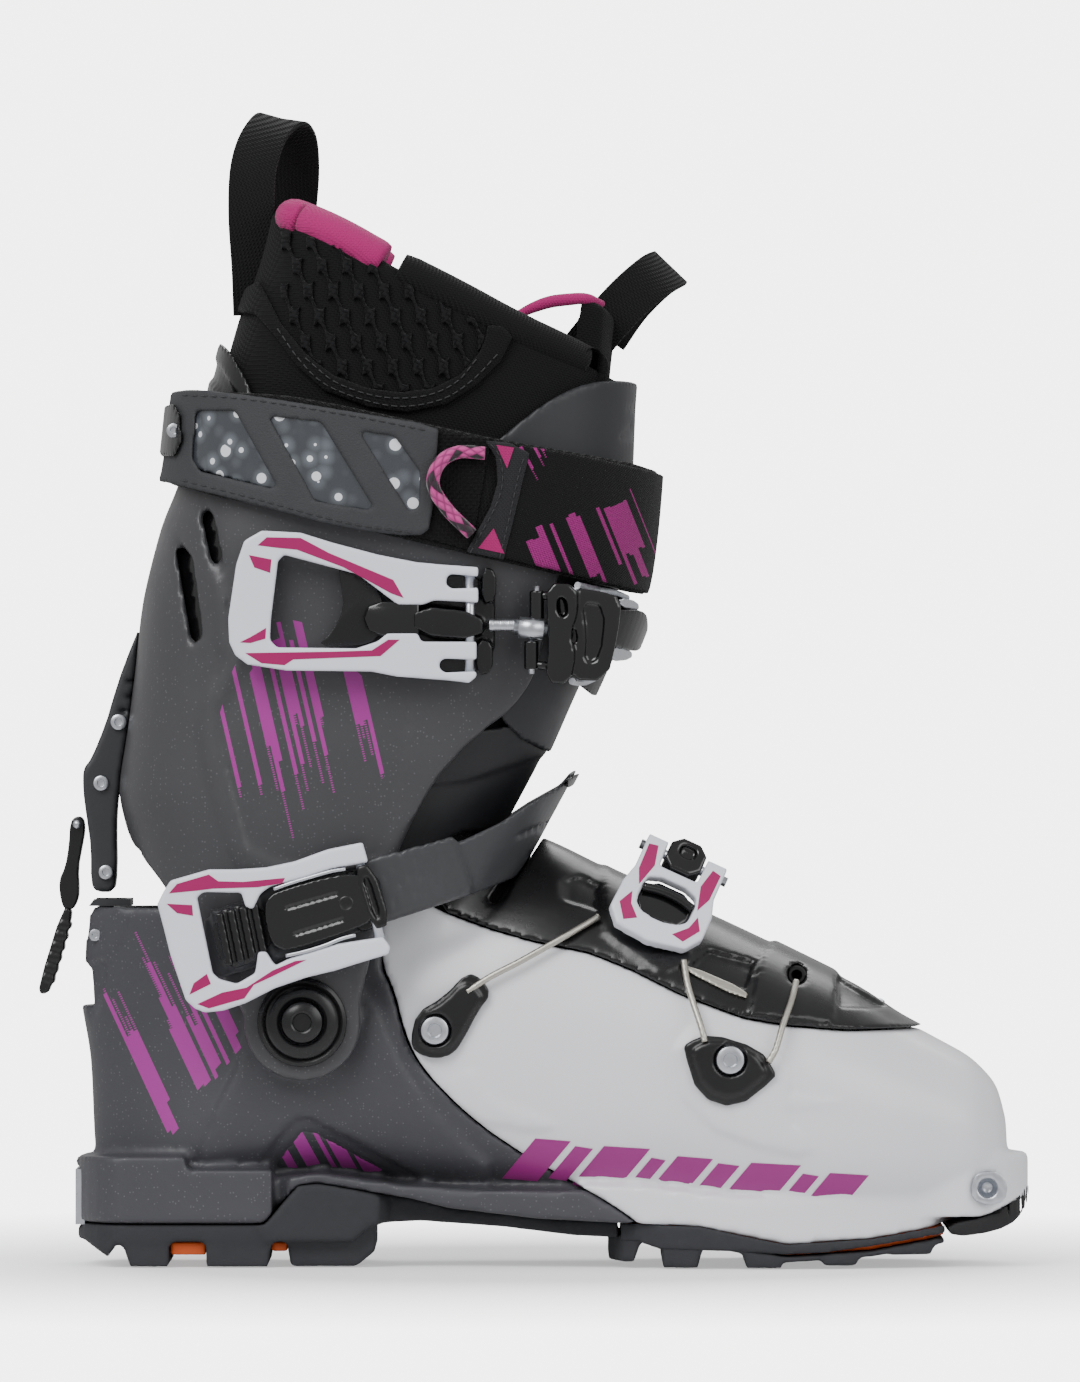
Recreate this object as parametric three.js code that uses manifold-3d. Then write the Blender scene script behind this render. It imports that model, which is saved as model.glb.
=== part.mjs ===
// Alpine touring boot for the right foot, in millimetres.
// +X runs to the toe, +Z up, and -Y is the outer side, which carries the buckles.
// Side outlines are [x, z] from the back of the heel and the ground.
import * as THREE from "three";
import { LoftGeometry } from "three/addons/geometries/LoftGeometry.js";
import { mergeVertices } from "three/addons/utils/BufferGeometryUtils.js";
import Module from "manifold-3d";

const wasm = await Module();
wasm.setup();

// Driving dimensions
const soleLength = 288;
const footWidth = 102; // across the ball of the foot
const cuffWidth = 112; // across the top of the cuff
const ankleX = 69.3; // ankle pivot from the back of the heel
const ankleZ = 73.7; // ankle pivot above the ground
const gap = 0.4; // between two pieces that touch
const shellWall = 4.5;
const cuffWall = 4;
const tongueWall = 3;
const flapWall = 3;
const footFoam = 7; // liner over the foot
const legFoam = 9; // liner around the leg
const boardThickness = 6;
const footbedThickness = 4;
const strapWall = 3;
const shieldWall = 2.4;
const cableDiameter = 1.9;
const loopDiameter = 4; // braided finger loop
const pivotRadius = 12.4;
const pivotBoltRadius = 6;
const anchorThickness = 4;
const leverThickness = 5;
const hingePinRadius = 1.5;
const hingeClearance = 0.35;
const insertPinRadius = 3.2;
const webbing = 2.6; // thickness of the pull loops
const ringPoints = 30;
const smallestRing = 2;

// The design's own size, which the outlines below are drawn at.
const drawnSole = 288;
const drawnFootWidth = 102;
const drawnCuffWidth = 112;
const wide = 400; // past both sides of the boot

const foreStretch = (soleLength - ankleX) / (drawnSole - ankleX);
const footSpread = footWidth / drawnFootWidth;
const cuffSpread = cuffWidth / drawnCuffWidth;

// What lies ahead of the ankle follows the length of the sole.
const ahead = (x) => (x > ankleX ? ankleX + (x - ankleX) * foreStretch : x);
const footOutline = (points) => points.map(([x, z]) => [ahead(x), z]);

// ---- solids ----

function solidOf(geometry) {
  const bare = new THREE.BufferGeometry();
  bare.setAttribute("position", geometry.getAttribute("position"));
  bare.setIndex(geometry.index);
  const merged = mergeVertices(bare, 1e-3);
  const mesh = new wasm.Mesh({
    numProp: 3,
    vertProperties: merged.attributes.position.array,
    triVerts: new Uint32Array(merged.index.array),
  });
  return new wasm.Manifold(mesh);
}

function geometryOf(solid) {
  const mesh = solid.getMesh();
  const geometry = new THREE.BufferGeometry();
  const position = new THREE.BufferAttribute(new Float32Array(mesh.vertProperties), 3);
  geometry.setAttribute("position", position);
  geometry.setIndex(new THREE.BufferAttribute(new Uint32Array(mesh.triVerts), 1));
  geometry.computeVertexNormals();
  return geometry;
}

const join = (solids) => solids.reduce((whole, solid) => whole.add(solid));

// Outline points as vectors, turned the same way round whatever order they come in
function loopOf(outline) {
  const points = outline.map(([a, b]) => new THREE.Vector2(a, b));
  return THREE.ShapeUtils.isClockWise(points) ? points.reverse() : points;
}

// An outline in the XZ plane, extruded along Y between two distances.
function sidePlate(outline, yFrom, yTo, holes = []) {
  const shape = new THREE.Shape(loopOf(outline));
  for (const hole of holes) shape.holes.push(new THREE.Path(loopOf(hole)));
  const depth = Math.abs(yTo - yFrom);
  const geometry = new THREE.ExtrudeGeometry(shape, { depth, bevelEnabled: false });
  geometry.rotateX(Math.PI / 2);
  geometry.translate(0, Math.max(yFrom, yTo), 0);
  return solidOf(geometry);
}

const sideRegion = (outline) => sidePlate(outline, -wide, wide);
const outerSide = (outline) => sidePlate(outline, -wide, 0);

// An outline in the XY plane, extruded upwards between two heights.
function floorPlate(outline, zFrom, zTo) {
  const shape = new THREE.Shape(loopOf(outline));
  const geometry = new THREE.ExtrudeGeometry(shape, { depth: zTo - zFrom, bevelEnabled: false });
  geometry.translate(0, 0, zFrom);
  return solidOf(geometry);
}

function block(from, to) {
  const size = to.map((value, i) => value - from[i]);
  const geometry = new THREE.BoxGeometry(...size);
  geometry.translate(...to.map((value, i) => (value + from[i]) / 2));
  return solidOf(geometry);
}

// A round bar along Y.
function crossBar(x, z, radius, yFrom, yTo, sides = 24) {
  const geometry = new THREE.CylinderGeometry(radius, radius, Math.abs(yTo - yFrom), sides);
  geometry.translate(x, (yFrom + yTo) / 2, z);
  return solidOf(geometry);
}

// A round bar between two points.
function bar(from, to, radius, sides = 12) {
  const start = new THREE.Vector3(...from);
  const end = new THREE.Vector3(...to);
  const geometry = new THREE.CylinderGeometry(radius, radius, start.distanceTo(end), sides);
  const turn = new THREE.Quaternion();
  turn.setFromUnitVectors(new THREE.Vector3(0, 1, 0), end.clone().sub(start).normalize());
  geometry.applyQuaternion(turn);
  geometry.translate(...start.add(end).multiplyScalar(0.5).toArray());
  return solidOf(geometry);
}

// A tube of round section along a smooth curve through its points.
function tube(points, radius, steps, sides = 8) {
  const section = new THREE.Shape();
  for (let i = 0; i < sides; i++) {
    const a = (i / sides) * 2 * Math.PI;
    const corner = [radius * Math.cos(a), radius * Math.sin(a)];
    if (i === 0) section.moveTo(...corner);
    else section.lineTo(...corner);
  }
  const path = new THREE.CatmullRomCurve3(points.map((p) => new THREE.Vector3(...p)));
  const options = { steps, extrudePath: path, bevelEnabled: false };
  return solidOf(new THREE.ExtrudeGeometry(section, options));
}

// A loft of rounded rings. Each ring joins a front and a rear point of the side view, and has a half width.
// An inset form leaves out the rings that are too small for it.
function rings(stations, outset, squareness) {
  const reachOf = ({ front, rear }) => Math.hypot(front[0] - rear[0], front[1] - rear[1]) / 2;
  const kept = stations.filter((s) => Math.min(reachOf(s), s.half) + outset > smallestRing);
  const sections = kept.map(({ front, rear, half, nose }) => {
    const centre = new THREE.Vector3((front[0] + rear[0]) / 2, 0, (front[1] + rear[1]) / 2);
    const reach = new THREE.Vector3((front[0] - rear[0]) / 2, 0, (front[1] - rear[1]) / 2);
    reach.setLength(reach.length() + outset);
    centre.x += outset * nose;
    const points = [];
    for (let i = 0; i < ringPoints; i++) {
      const a = (i / ringPoints) * 2 * Math.PI;
      const along = Math.sign(Math.cos(a)) * Math.abs(Math.cos(a)) ** (2 / squareness);
      const across = Math.sign(Math.sin(a)) * Math.abs(Math.sin(a)) ** (2 / squareness);
      const point = centre.clone().addScaledVector(reach, along);
      point.y = (half + outset) * across;
      points.push(point);
    }
    return points;
  });
  return solidOf(new LoftGeometry(sections, { capStart: true, capEnd: true }));
}

// nose says how far a ring faces along X, so that the end of an inset form draws back too.
const station = (front, rear, half, nose = 0) => ({ front, rear, half, nose });

// ---- the two body forms ----

// Foot, from the toe to the ankle.
const footStations = [
  station([281, 44], [281.5, 26], 13, 1),
  station([278, 54], [279, 18], 24, 0.9),
  station([270.5, 62], [271, 14.5], 33, 0.7),
  station([260, 68], [258, 12], 39, 0.4),
  station([249, 74], [240, 9.5], 45, 0.2),
  station([236, 82.5], [220, 8], 49),
  station([216, 92.5], [198, 10.5], 51),
  station([196, 102], [172, 15], 50),
  station([178, 110], [142, 16], 46),
  station([164, 116], [110, 21], 42),
  station([154, 121], [76, 25], 39),
  station([146, 125], [40, 20], 36),
  station([139, 128], [10, 14], 33),
  station([133, 130], [6, 34], 31),
  station([128, 131], [4.5, 62], 31),
  station([124, 132], [1, 85], 32.5),
  station([121, 133], [3.5, 108], 34.5),
].map(({ front, rear, half, nose }) =>
  station([ahead(front[0]), front[1]], [ahead(rear[0]), rear[1]], half * footSpread, nose),
);
const footSquareness = 2.25;
const footForm = (outset) => rings(footStations, outset, footSquareness);

// Leg, from below the ankle to above the cuff.
const legStations = [
  station([106, 50], [32, 50], 46),
  station([113, 75], [26, 75], 46),
  station([120, 97], [20, 98], 46),
  station([129, 118], [17, 125], 46.5),
  station([138, 135], [13.3, 142], 48),
  station([147, 152], [15.7, 160], 50),
  station([155, 170], [18, 178], 51),
  station([163, 188], [20.5, 200], 52),
  station([169, 205], [26, 222], 54),
  station([171.5, 222], [32, 238], 55),
  station([173, 240], [35, 262], 56),
  station([174, 262], [41, 285], 56),
  station([177, 290], [49, 310], 56),
  station([180, 330], [57, 350], 56),
].map(({ front, rear, half }) => station(front, rear, half * cuffSpread));
const legSquareness = 3;
const legForm = (outset) => rings(legStations, outset, legSquareness);
const legBand = (outer, inner) => legForm(outer).subtract(legForm(inner));

// Distance of the leg form's side from the middle, at a height in the straight part of its side.
const legSide = (z) => {
  const mid = (s) => (s.front[1] + s.rear[1]) / 2;
  const upper = legStations.findIndex((s) => mid(s) > z);
  const [low, high] = [legStations[upper - 1], legStations[upper]];
  const share = (z - mid(low)) / (mid(high) - mid(low));
  return low.half + share * (high.half - low.half);
};

// ---- finishes ----

const finish = (color, roughness, metalness = 0) =>
  new THREE.MeshStandardMaterial({ color, roughness, metalness });
const finishes = {
  white: () => finish(0xdedee4, 0.35),
  graphite: () => finish(0x565659, 0.5),
  grey: () => finish(0x6c6c6f, 0.45),
  black: () => finish(0x1c1d20, 0.4),
  rubber: () => finish(0x42444a, 0.85),
  orange: () => finish(0xc44814, 0.7),
  magenta: () => finish(0xb01c74, 0.45),
  pink: () => finish(0xbe3e8c, 0.9),
  steel: () => finish(0xc4c9ce, 0.3, 1),
  cable: () => finish(0xb9b5ac, 0.5, 0.6),
  webbing: () => finish(0x161616, 0.9),
  foam: () => finish(0x2d2d30, 0.95),
  shield: () => finish(0x3c4148, 0.5),
};

const boot = new THREE.Group();
const shell = new THREE.Group();
const cuff = new THREE.Group();
boot.add(shell, cuff);

function place(group, name, solid, finishName) {
  const mesh = new THREE.Mesh(geometryOf(solid), finishes[finishName]());
  mesh.name = name;
  group.add(mesh);
  return mesh;
}

// ---- lower shell ----

// Side outlines of the foot's regions
const whiteEdge = footOutline([
  [92, 92], [96.8, 82.9], [99.8, 70.5], [104.1, 61.1], [112.5, 51.7],
  [122.8, 42.4], [133.4, 35.1], [140.4, 30.9], [169.4, 14.8], [180, 2],
]);
const flapEdge = footOutline([
  [98, 113], [125.8, 101], [138.5, 97.4], [154.9, 94.1], [167.3, 89.2],
  [182.4, 81.7], [201.2, 74.7], [215.1, 72.3], [232.6, 70.8], [252, 71],
]);
const farToe = [soleLength + 20, 0];
const overToe = [soleLength + 20, 71];
const shift = (points, dx, dz) => points.map(([x, z]) => [x + dx, z + dz]);

const shellTop = 107.5;
const belowFlap = [
  [-20, -20], [farToe[0], -20], overToe,
  ...shift(flapEdge, 0, -gap / 2).reverse(), [60, 112], [30, shellTop], [-20, shellTop],
];
const aboveFlap = [
  [ahead(106), 119], ...shift(flapEdge, 0, gap / 2).slice(1), overToe, [soleLength, 200], [ahead(142), 200],
  [ahead(130), 119],
];
const whiteRegion = [
  ...shift(whiteEdge, gap / 2, 0), [180, -40], [farToe[0], -40], [farToe[0], 150], [ahead(92), 150],
];
const darkRegion = [
  [-40, -40], [180, -40], ...shift(whiteEdge, -gap / 2, 0).reverse(), [ahead(92), 150], [-40, 150],
];

const toeHalf = 33;
const toeRound = 24; // length of the rounded nose of the toe ledge
const ledgeTop = 31;
const ledgeBottom = 14.5;
function noseOutline(back, front, half, round) {
  const points = [[back, half], [back, -half], [front - round, -half]];
  const steps = 10;
  for (let i = 1; i < steps; i++) {
    const a = -Math.PI / 2 + (i / steps) * Math.PI;
    points.push([front - round + round * Math.cos(a), half * Math.sin(a)]);
  }
  points.push([front - round, half]);
  return points;
}
const toeFront = soleLength;
const toeLedge = floorPlate(noseOutline(ahead(235), toeFront, toeHalf, toeRound), ledgeBottom + gap, ledgeTop);

const heelHalf = 33;
const heelTop = 33.6;
const soleTop = 12.5; // where the heel rubber meets the shell
function heelOutline(front, half, round) {
  const points = [[front, half], [round, half]];
  const steps = 8;
  for (let i = 1; i < steps; i++) {
    const a = Math.PI / 2 + (i / steps) * Math.PI;
    points.push([round + round * Math.cos(a), half * Math.sin(a)]);
  }
  points.push([round, -half], [front, -half]);
  return points.reverse();
}
const heelRound = 16;
const heelInsertDepth = 3.2;
const heelSlotBottom = 18;
const heelSlotTop = 26;
const heelSlotHalf = 12;
const heelSlotDepth = 6;
const heelSlot = block(
  [-1, -heelSlotHalf - 1, heelSlotBottom - 1],
  [heelSlotDepth, heelSlotHalf + 1, heelSlotTop + 1],
);
const heelSeat = block([-1, -15 - gap, 11.6], [heelInsertDepth + gap, 15 + gap, 29]);

const outerFoot = footForm(0);
const footCavity = footForm(-shellWall);
const barReach = 65.2; // the lock bar sweeps outside this distance from the pivot
const barHalf = 11;
const barSteps = 6;
const barChannelOutline = [];
for (let i = 0; i <= barSteps; i++) {
  const a = 2.42 + (0.62 * i) / barSteps;
  barChannelOutline.push([ankleX + barReach * Math.cos(a), ankleZ + barReach * Math.sin(a)]);
}
barChannelOutline.push([-20, ankleZ + 4], [-20, 125]);
const barChannel = sidePlate(barChannelOutline, -barHalf, barHalf);

const heelLedge = floorPlate(heelOutline(34, heelHalf, heelRound), soleTop + gap, heelTop)
  .subtract(footForm(gap))
  .subtract(heelSeat)
  .subtract(heelSlot);
place(shell, "heel_ledge", heelLedge, "graphite");
const wholeShell = outerFoot
  .intersect(sideRegion(belowFlap))
  .add(toeLedge)
  .subtract(footCavity)
  .subtract(block([-50, -100, -50], [soleLength + 50, 100, soleTop - 8]));

const insertX = ahead(274.7);
const insertZ = 23.6;
const insertHalf = 29.5;
const toeInsertPocket = crossBar(insertX, insertZ, 8 + gap, -insertHalf - 3, insertHalf + 3, 16);

// Sole line: the rubber lies below it.
const foreSoleTop = footOutline([
  [165, 13.2], [188, 12.4], [205, 8.8], [214, 7], [240, 8.6], [262, 12.4], [275, 15.4], [284, 19.4],
]);
const shankTop = footOutline([
  [57, 12.5], [67.8, 24.6], [73.8, 25.2], [101.9, 20.4], [112.8, 17.6], [140.1, 14.4], [165, 13.2],
]);
const soleLine = [...shankTop, ...foreSoleTop.slice(1)];
const underSole = sideRegion([
  [57, -20], ...shift(soleLine, 0, gap / 2), [soleLength + 30, 19.4], [soleLength + 30, -20],
]);
const toeShell = wholeShell
  .intersect(sideRegion(whiteRegion))
  .subtract(toeInsertPocket)
  .subtract(underSole);
place(shell, "toe_shell", toeShell, "white");

// Raised ribs of the frame, an inverted Y under the pivot
const ribHeight = 1.6;
const ribOutlines = [
  [[56, 64], [62, 58], [57.2, 36], [49, 24], [43, 24], [38.4, 36.3]],
  [[66, 57], [76, 57], [84, 46], [112, 26], [104, 23.5], [72, 44]],
];
const ribs = ribOutlines.map((outline) =>
  footForm(ribHeight).subtract(footForm(-1)).intersect(sideRegion(outline)),
);
const pivotSeatHalf = 37;
const pivotSeat = crossBar(ankleX, ankleZ, pivotRadius + 4, -pivotSeatHalf, pivotSeatHalf, 28);
const pivotBore = crossBar(ankleX, ankleZ, pivotBoltRadius * 0.6 + gap, -wide, wide, 16);
const frame = wholeShell
  .intersect(sideRegion(darkRegion))
  .add(join(ribs))
  .add(pivotSeat.subtract(footCavity))
  .subtract(underSole)
  .subtract(pivotBore)
  .subtract(barChannel)
  .subtract(heelSeat);
place(shell, "heel_frame", frame, "graphite");

// Inside the shell: board, liner and foot bed
const boardLine = footOutline([
  [8, 19], [40, 24.5], [76, 29.5], [110, 25.5], [142, 20.5], [172, 19.5],
  [198, 15], [220, 12.5], [240, 14], [255, 17], [263, 26.5], [285, 27],
]);
const pastToe = soleLength + 40;
const above = (line, dz) =>
  sideRegion([...shift(line, 0, dz), [pastToe, 300], [-40, 300], [-40, line[0][1] + dz]]);
const under = (line, dz) =>
  sideRegion([
    [-40, -40], [pastToe, -40], [pastToe, line.at(-1)[1] + dz], ...shift(line, 0, dz).reverse(),
    [-40, line[0][1] + dz],
  ]);
const insideShell = footForm(-shellWall - gap);
const board = insideShell
  .intersect(under(boardLine, boardThickness))
  .intersect(sideRegion(belowFlap))
  .subtract(toeInsertPocket);
place(shell, "boot_board", board, "black");

const linerFootTop = [
  [-20, -20], [soleLength, -20], [soleLength, 140], [ahead(116), 116], [60, 106], [-20, 104],
];
const linerFootCavity = footForm(-shellWall - gap - footFoam);
const linerFoot = insideShell
  .subtract(linerFootCavity)
  .intersect(above(boardLine, boardThickness + gap))
  .intersect(sideRegion(linerFootTop));

const footbed = footForm(-shellWall - 2 * gap - footFoam)
  .intersect(above(boardLine, boardThickness + 2 * gap))
  .intersect(under(boardLine, boardThickness + 2 * gap + footbedThickness));
place(shell, "footbed", footbed, "black");

// Overlap flap over the instep, with the slider's window, the grommet's hole and room for the ankle strap
const ladderInner = strapWall + gap;
const ladderOuter = ladderInner + 2.8;

const windowOutline = footOutline([[185.1, 91.4], [192.1, 95.2], [205.4, 91.1], [201.8, 82.6]]);
const grommet = { x: ahead(217.5), z: 87.4, radius: 2.6 };
const flapForm = footForm(1.4).subtract(footForm(1.4 - flapWall - 1));
const strapRoom = legForm(ladderOuter + gap)
  .subtract(legForm(ladderInner - gap))
  .intersect(sideRegion([[86, 98], [160, 118], [175, 132], [175, 160], [86, 130]]));
const flap = flapForm
  .subtract(strapRoom)
  .subtract(outerFoot.intersect(sideRegion(belowFlap)))
  .subtract(insideShell)
  .intersect(sideRegion(aboveFlap))
  .subtract(outerSide(windowOutline))
  .subtract(crossBar(grommet.x, grommet.z, grommet.radius + gap, -wide, 0, 16));
// Crumbs cut off behind the strap are left out.
const largest = (solid) =>
  solid.decompose().reduce((one, other) => (one.volume() > other.volume() ? one : other));
place(shell, "instep_flap", largest(flap), "black");

// The liner in the foot gives way to the strap too.
place(shell, "liner_foot", linerFoot.subtract(strapRoom), "foam");

// ---- soles ----

const lug = (x0, x1, z0, z1, half) => block([x0, -half, z0], [x1, half, z1]);
const heelSoleBody = floorPlate(heelOutline(60, heelHalf - 1, heelRound), 8, soleTop);
const heelLugs = [
  [[2.4, 8], [10.9, 3], [13.5, 6.5], [16, 3], [29, 0], [29, 9]],
  [[40.2, 9], [40.2, 0], [59, 0], [60, 9]],
  [[64, 9], [66, 0], [85.3, 0], [91, 5], [91, 12]],
];
const heelLugPlates = heelLugs.map((outline) => sidePlate(outline, -heelHalf + 1, heelHalf - 1));
const shankOutline = [
  [56, 12.3], ...shift(shankTop, 0, -gap / 2).slice(1, -1), [ahead(160), 13.2], [ahead(160), 8.6],
  [ahead(150), 9], [ahead(129.2), 11.6], [ahead(104.7), 13.4], [91.4, 12.8], [87.4, 10.5], [84, 7.5], [58, 7.5],
];
const shank = sidePlate(shankOutline, -27, 27);
const heelSole = join([heelSoleBody, shank, ...heelLugPlates])
  .subtract(heelSeat)
  .subtract(sidePlate([[29, -1], [40.2, -1], [40.2, 7.3], [29, 7.3]], -wide, wide));
place(shell, "heel_sole", heelSole, "rubber");

// Width of the forefoot rubber, as a floor outline
const foreSoleFloor = [
  [ahead(161), 30], [ahead(176), 39], [ahead(200), 43.5], [ahead(225), 42], [ahead(250), 35], [ahead(266), 27],
];
const foreFloor = [...foreSoleFloor.map(([x, y]) => [x, -y]), ...[...foreSoleFloor].reverse()];
const foreCoreDepth = 3.2;
const coreOutline = [
  ...shift(foreSoleTop, 0, -gap / 2).slice(0, 6),
  ...shift(foreSoleTop, 0, -gap / 2 - foreCoreDepth).slice(0, 6).reverse(),
];
const foreCore = sidePlate(coreOutline, -wide, wide).intersect(floorPlate(foreFloor, -10, 60));
place(shell, "sole_core", foreCore, "orange");
const treadOutline = [
  ...shift(foreSoleTop, 0, -gap * 1.5 - foreCoreDepth).slice(0, 6),
  ...shift(foreSoleTop, 0, -gap * 1.5 - foreCoreDepth - 1.6).slice(0, 6).reverse(),
];
const foreLugs = [[161, 169, 1.6], [177, 188.5, 0], [201.2, 213.3, 0], [224.8, 236, 0.8], [245, 257, 4.4]];
const lugSolids = foreLugs.map(([x0, x1, z]) => lug(ahead(x0), ahead(x1), z, 12, 60));
const aboveTread = sideRegion([
  ...shift(foreSoleTop, 0, -gap * 1.5 - foreCoreDepth), [soleLength + 30, 80], [ahead(150), 80],
  [ahead(150), foreSoleTop[0][1] - gap * 1.5 - foreCoreDepth],
]);
const tread = join([sidePlate(treadOutline, -wide, wide), ...lugSolids])
  .subtract(aboveTread)
  .intersect(floorPlate(foreFloor, -10, 60));
place(shell, "fore_sole", tread, "rubber");

const bumperOutline = footOutline([
  [264.5, 12.2], [276, 15.2], [283.5, 19.8], [286.4, 21.5], [286.8, 17.8], [282.5, 13], [276.8, 11.2], [264.5, 9.6],
]);
const bumper = sidePlate(bumperOutline, -26, 26)
  .subtract(toeLedge)
  .intersect(floorPlate(noseOutline(ahead(200), toeFront - 0.5, toeHalf - 1, toeRound), -10, 60))
  .subtract(toeInsertPocket);
place(shell, "toe_bumper", bumper, "rubber");

// ---- binding inserts ----

const toeInsertCore = crossBar(insertX, insertZ, 6.5, -insertHalf, insertHalf, 16);
const socketDepth = 5;
const sockets = [-1, 1].map((side) => {
  const mouth = side * (insertHalf + 1);
  return crossBar(insertX, insertZ, insertPinRadius, mouth, mouth - side * (socketDepth + 1), 16);
});
place(shell, "toe_insert", toeInsertCore.subtract(join(sockets)), "steel");

const heelInsert = block([0.4, -15, 12], [heelInsertDepth, 15, 28.6]).subtract(
  block([-2, -heelSlotHalf, heelSlotBottom], [20, heelSlotHalf, heelSlotTop]),
);
place(shell, "heel_insert", heelInsert, "steel");

// ---- heel lock plate ----

const lockPlateOutline = [[4.4, 107.9], [17, 107.9], [17, 110], [6, 110]];
const lockPlate = sidePlate(lockPlateOutline, -14, 14).subtract(barChannel);
place(shell, "rear_lock_plate", lockPlate, "grey");

// ---- ankle pivots ----

for (const [side, word] of [[-1, "outer"], [1, "inner"]]) {
  const bolt = crossBar(ankleX, ankleZ, pivotBoltRadius * 0.6, side * (pivotSeatHalf - 4), side * 50);
  const head = crossBar(ankleX, ankleZ, pivotBoltRadius, side * 50, side * 52);
  const hex = crossBar(ankleX, ankleZ, 2.6, side * 50.5, side * 53, 6);
  place(shell, "pivot_bolt_" + word, bolt.add(head).subtract(hex), "steel");
}

// ---- cable anchors and cables ----

// Distance of the foot form's side from the middle at a point of the side view
function footSide(x, z) {
  const probe = block([x - 0.5, -wide, z - 0.5], [x + 0.5, 0, z + 0.5]).intersect(outerFoot);
  const box = probe.boundingBox();
  return -box.min[1];
}

const rearAnchorAt = [108.9, 71.1];
const frontAnchorAt = [197.2, 62.6];
const rearAnchorOutline = [
  [101.5, 68], [104, 64.5], [109, 63], [114, 64.5], [117.5, 69], [122, 77], [125.5, 82],
  [123, 86], [118.6, 88.3], [112, 81], [104, 77],
];
const frontAnchorOutline = [
  [183.6, 65.5], [187.9, 52], [199, 48.4], [210.2, 57.2], [210.2, 59.2], [205.7, 65.8],
  [191.2, 70.2], [184.2, 67.4],
];
const anchors = [
  { name: "rear", at: rearAnchorAt, outline: rearAnchorOutline },
  { name: "front", at: frontAnchorAt, outline: frontAnchorOutline },
];
const screwRadius = 4.5;
for (const { name, at, outline } of anchors) {
  for (const [side, word] of [[-1, "outer"], [1, "inner"]]) {
    const [x, z] = [ahead(at[0]), at[1]];
    const reach = footSide(x, z);
    const seat = side < 0
      ? sidePlate(footOutline(outline), -reach - anchorThickness, -reach / 2)
      : sidePlate(footOutline(outline), reach / 2, reach + anchorThickness);
    const bore = crossBar(x, z, screwRadius + gap, side * (reach + 1), side * (reach + 20), 20);
    const anchor = seat.subtract(footForm(gap)).subtract(bore);
    place(shell, name + "_cable_anchor_" + word, anchor, "white");
    const from = side * (reach + 1 + gap);
    const screw = crossBar(x, z, screwRadius, from, side * (reach + anchorThickness + 0.6), 20);
    const drive = crossBar(x, z, 2, side * (reach + anchorThickness - 1), side * (reach + anchorThickness + 3), 6);
    place(shell, name + "_anchor_screw_" + word, screw.subtract(drive), "steel");
  }
}

const cableRadius = cableDiameter / 2;
const onFoot = (x, z, lift) => [ahead(x), -footSide(ahead(x), z) - lift, z];
const cableLift = cableRadius + 2.4;
const rearCablePath = [
  onFoot(125.6, 87.2, cableLift), onFoot(134, 91.5, cableLift), onFoot(143, 96.5, cableLift),
  onFoot(150, 100, cableLift), onFoot(154.6, 102.6, cableLift),
];
place(shell, "rear_cable", tube(rearCablePath, cableRadius, 8), "cable");
const frontRearLegPath = [
  onFoot(188.5, 72.5, cableLift + 1), onFoot(186, 80, cableLift), onFoot(184.3, 86, cableLift),
  onFoot(183.6, 90, cableLift),
];
place(shell, "front_cable_rear_leg", tube(frontRearLegPath, cableRadius, 8), "cable");
const frontFrontLegPath = [
  onFoot(210.8, 66, cableLift + 1), onFoot(213, 73, cableLift), onFoot(215.6, 80, cableLift),
  onFoot(216.2, 83, cableLift),
];
place(shell, "front_cable_front_leg", tube(frontFrontLegPath, cableRadius, 8), "cable");
const grommetSide = footSide(grommet.x, grommet.z);
const grommetRing = crossBar(grommet.x, grommet.z, grommet.radius, -grommetSide - 3, -grommetSide + 4, 16)
  .subtract(crossBar(grommet.x, grommet.z, cableRadius + 0.3, -grommetSide - 5, -grommetSide - 1, 8));
place(shell, "cable_grommet", grommetRing, "steel");

// ---- bellows and the liner across the ankle, which bend with the cuff ----

const linerLow = 121.5;
const linerJoin = 140;
const linerJoinFront = 170;
const cuffInset = -cuffWall - gap;
const tongueInset = cuffInset - tongueWall - gap;
const bellowsInner = tongueInset - 1.2;
const bellows = legBand(tongueInset + 1.5, bellowsInner).intersect(
  sideRegion([[92, 121], [104, 123], [117, 130], [160, 134], [160, 158], [94, 138.5]]),
);
place(shell, "bellows", bellows, "black");

const linerOuter = tongueInset - gap;
const linerInner = linerOuter - legFoam;
const ankleRegion = [
  [-20, linerLow], [200, linerLow], [200, linerJoinFront - gap], [150, linerJoinFront - gap],
  [90, linerJoin - gap], [-20, linerJoin - gap],
];
const bellowsInset = bellowsInner - gap;
const footBelowAnkle = footForm(gap).intersect(
  sideRegion([[-20, -20], [soleLength, -20], [soleLength, 118], [-20, 118]]),
);
const ankleLiner = legBand(bellowsInset, linerInner - 1)
  .intersect(sideRegion(ankleRegion))
  .subtract(footBelowAnkle);
place(shell, "liner_ankle", ankleLiner, "foam");

// ---- cuff ----

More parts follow.
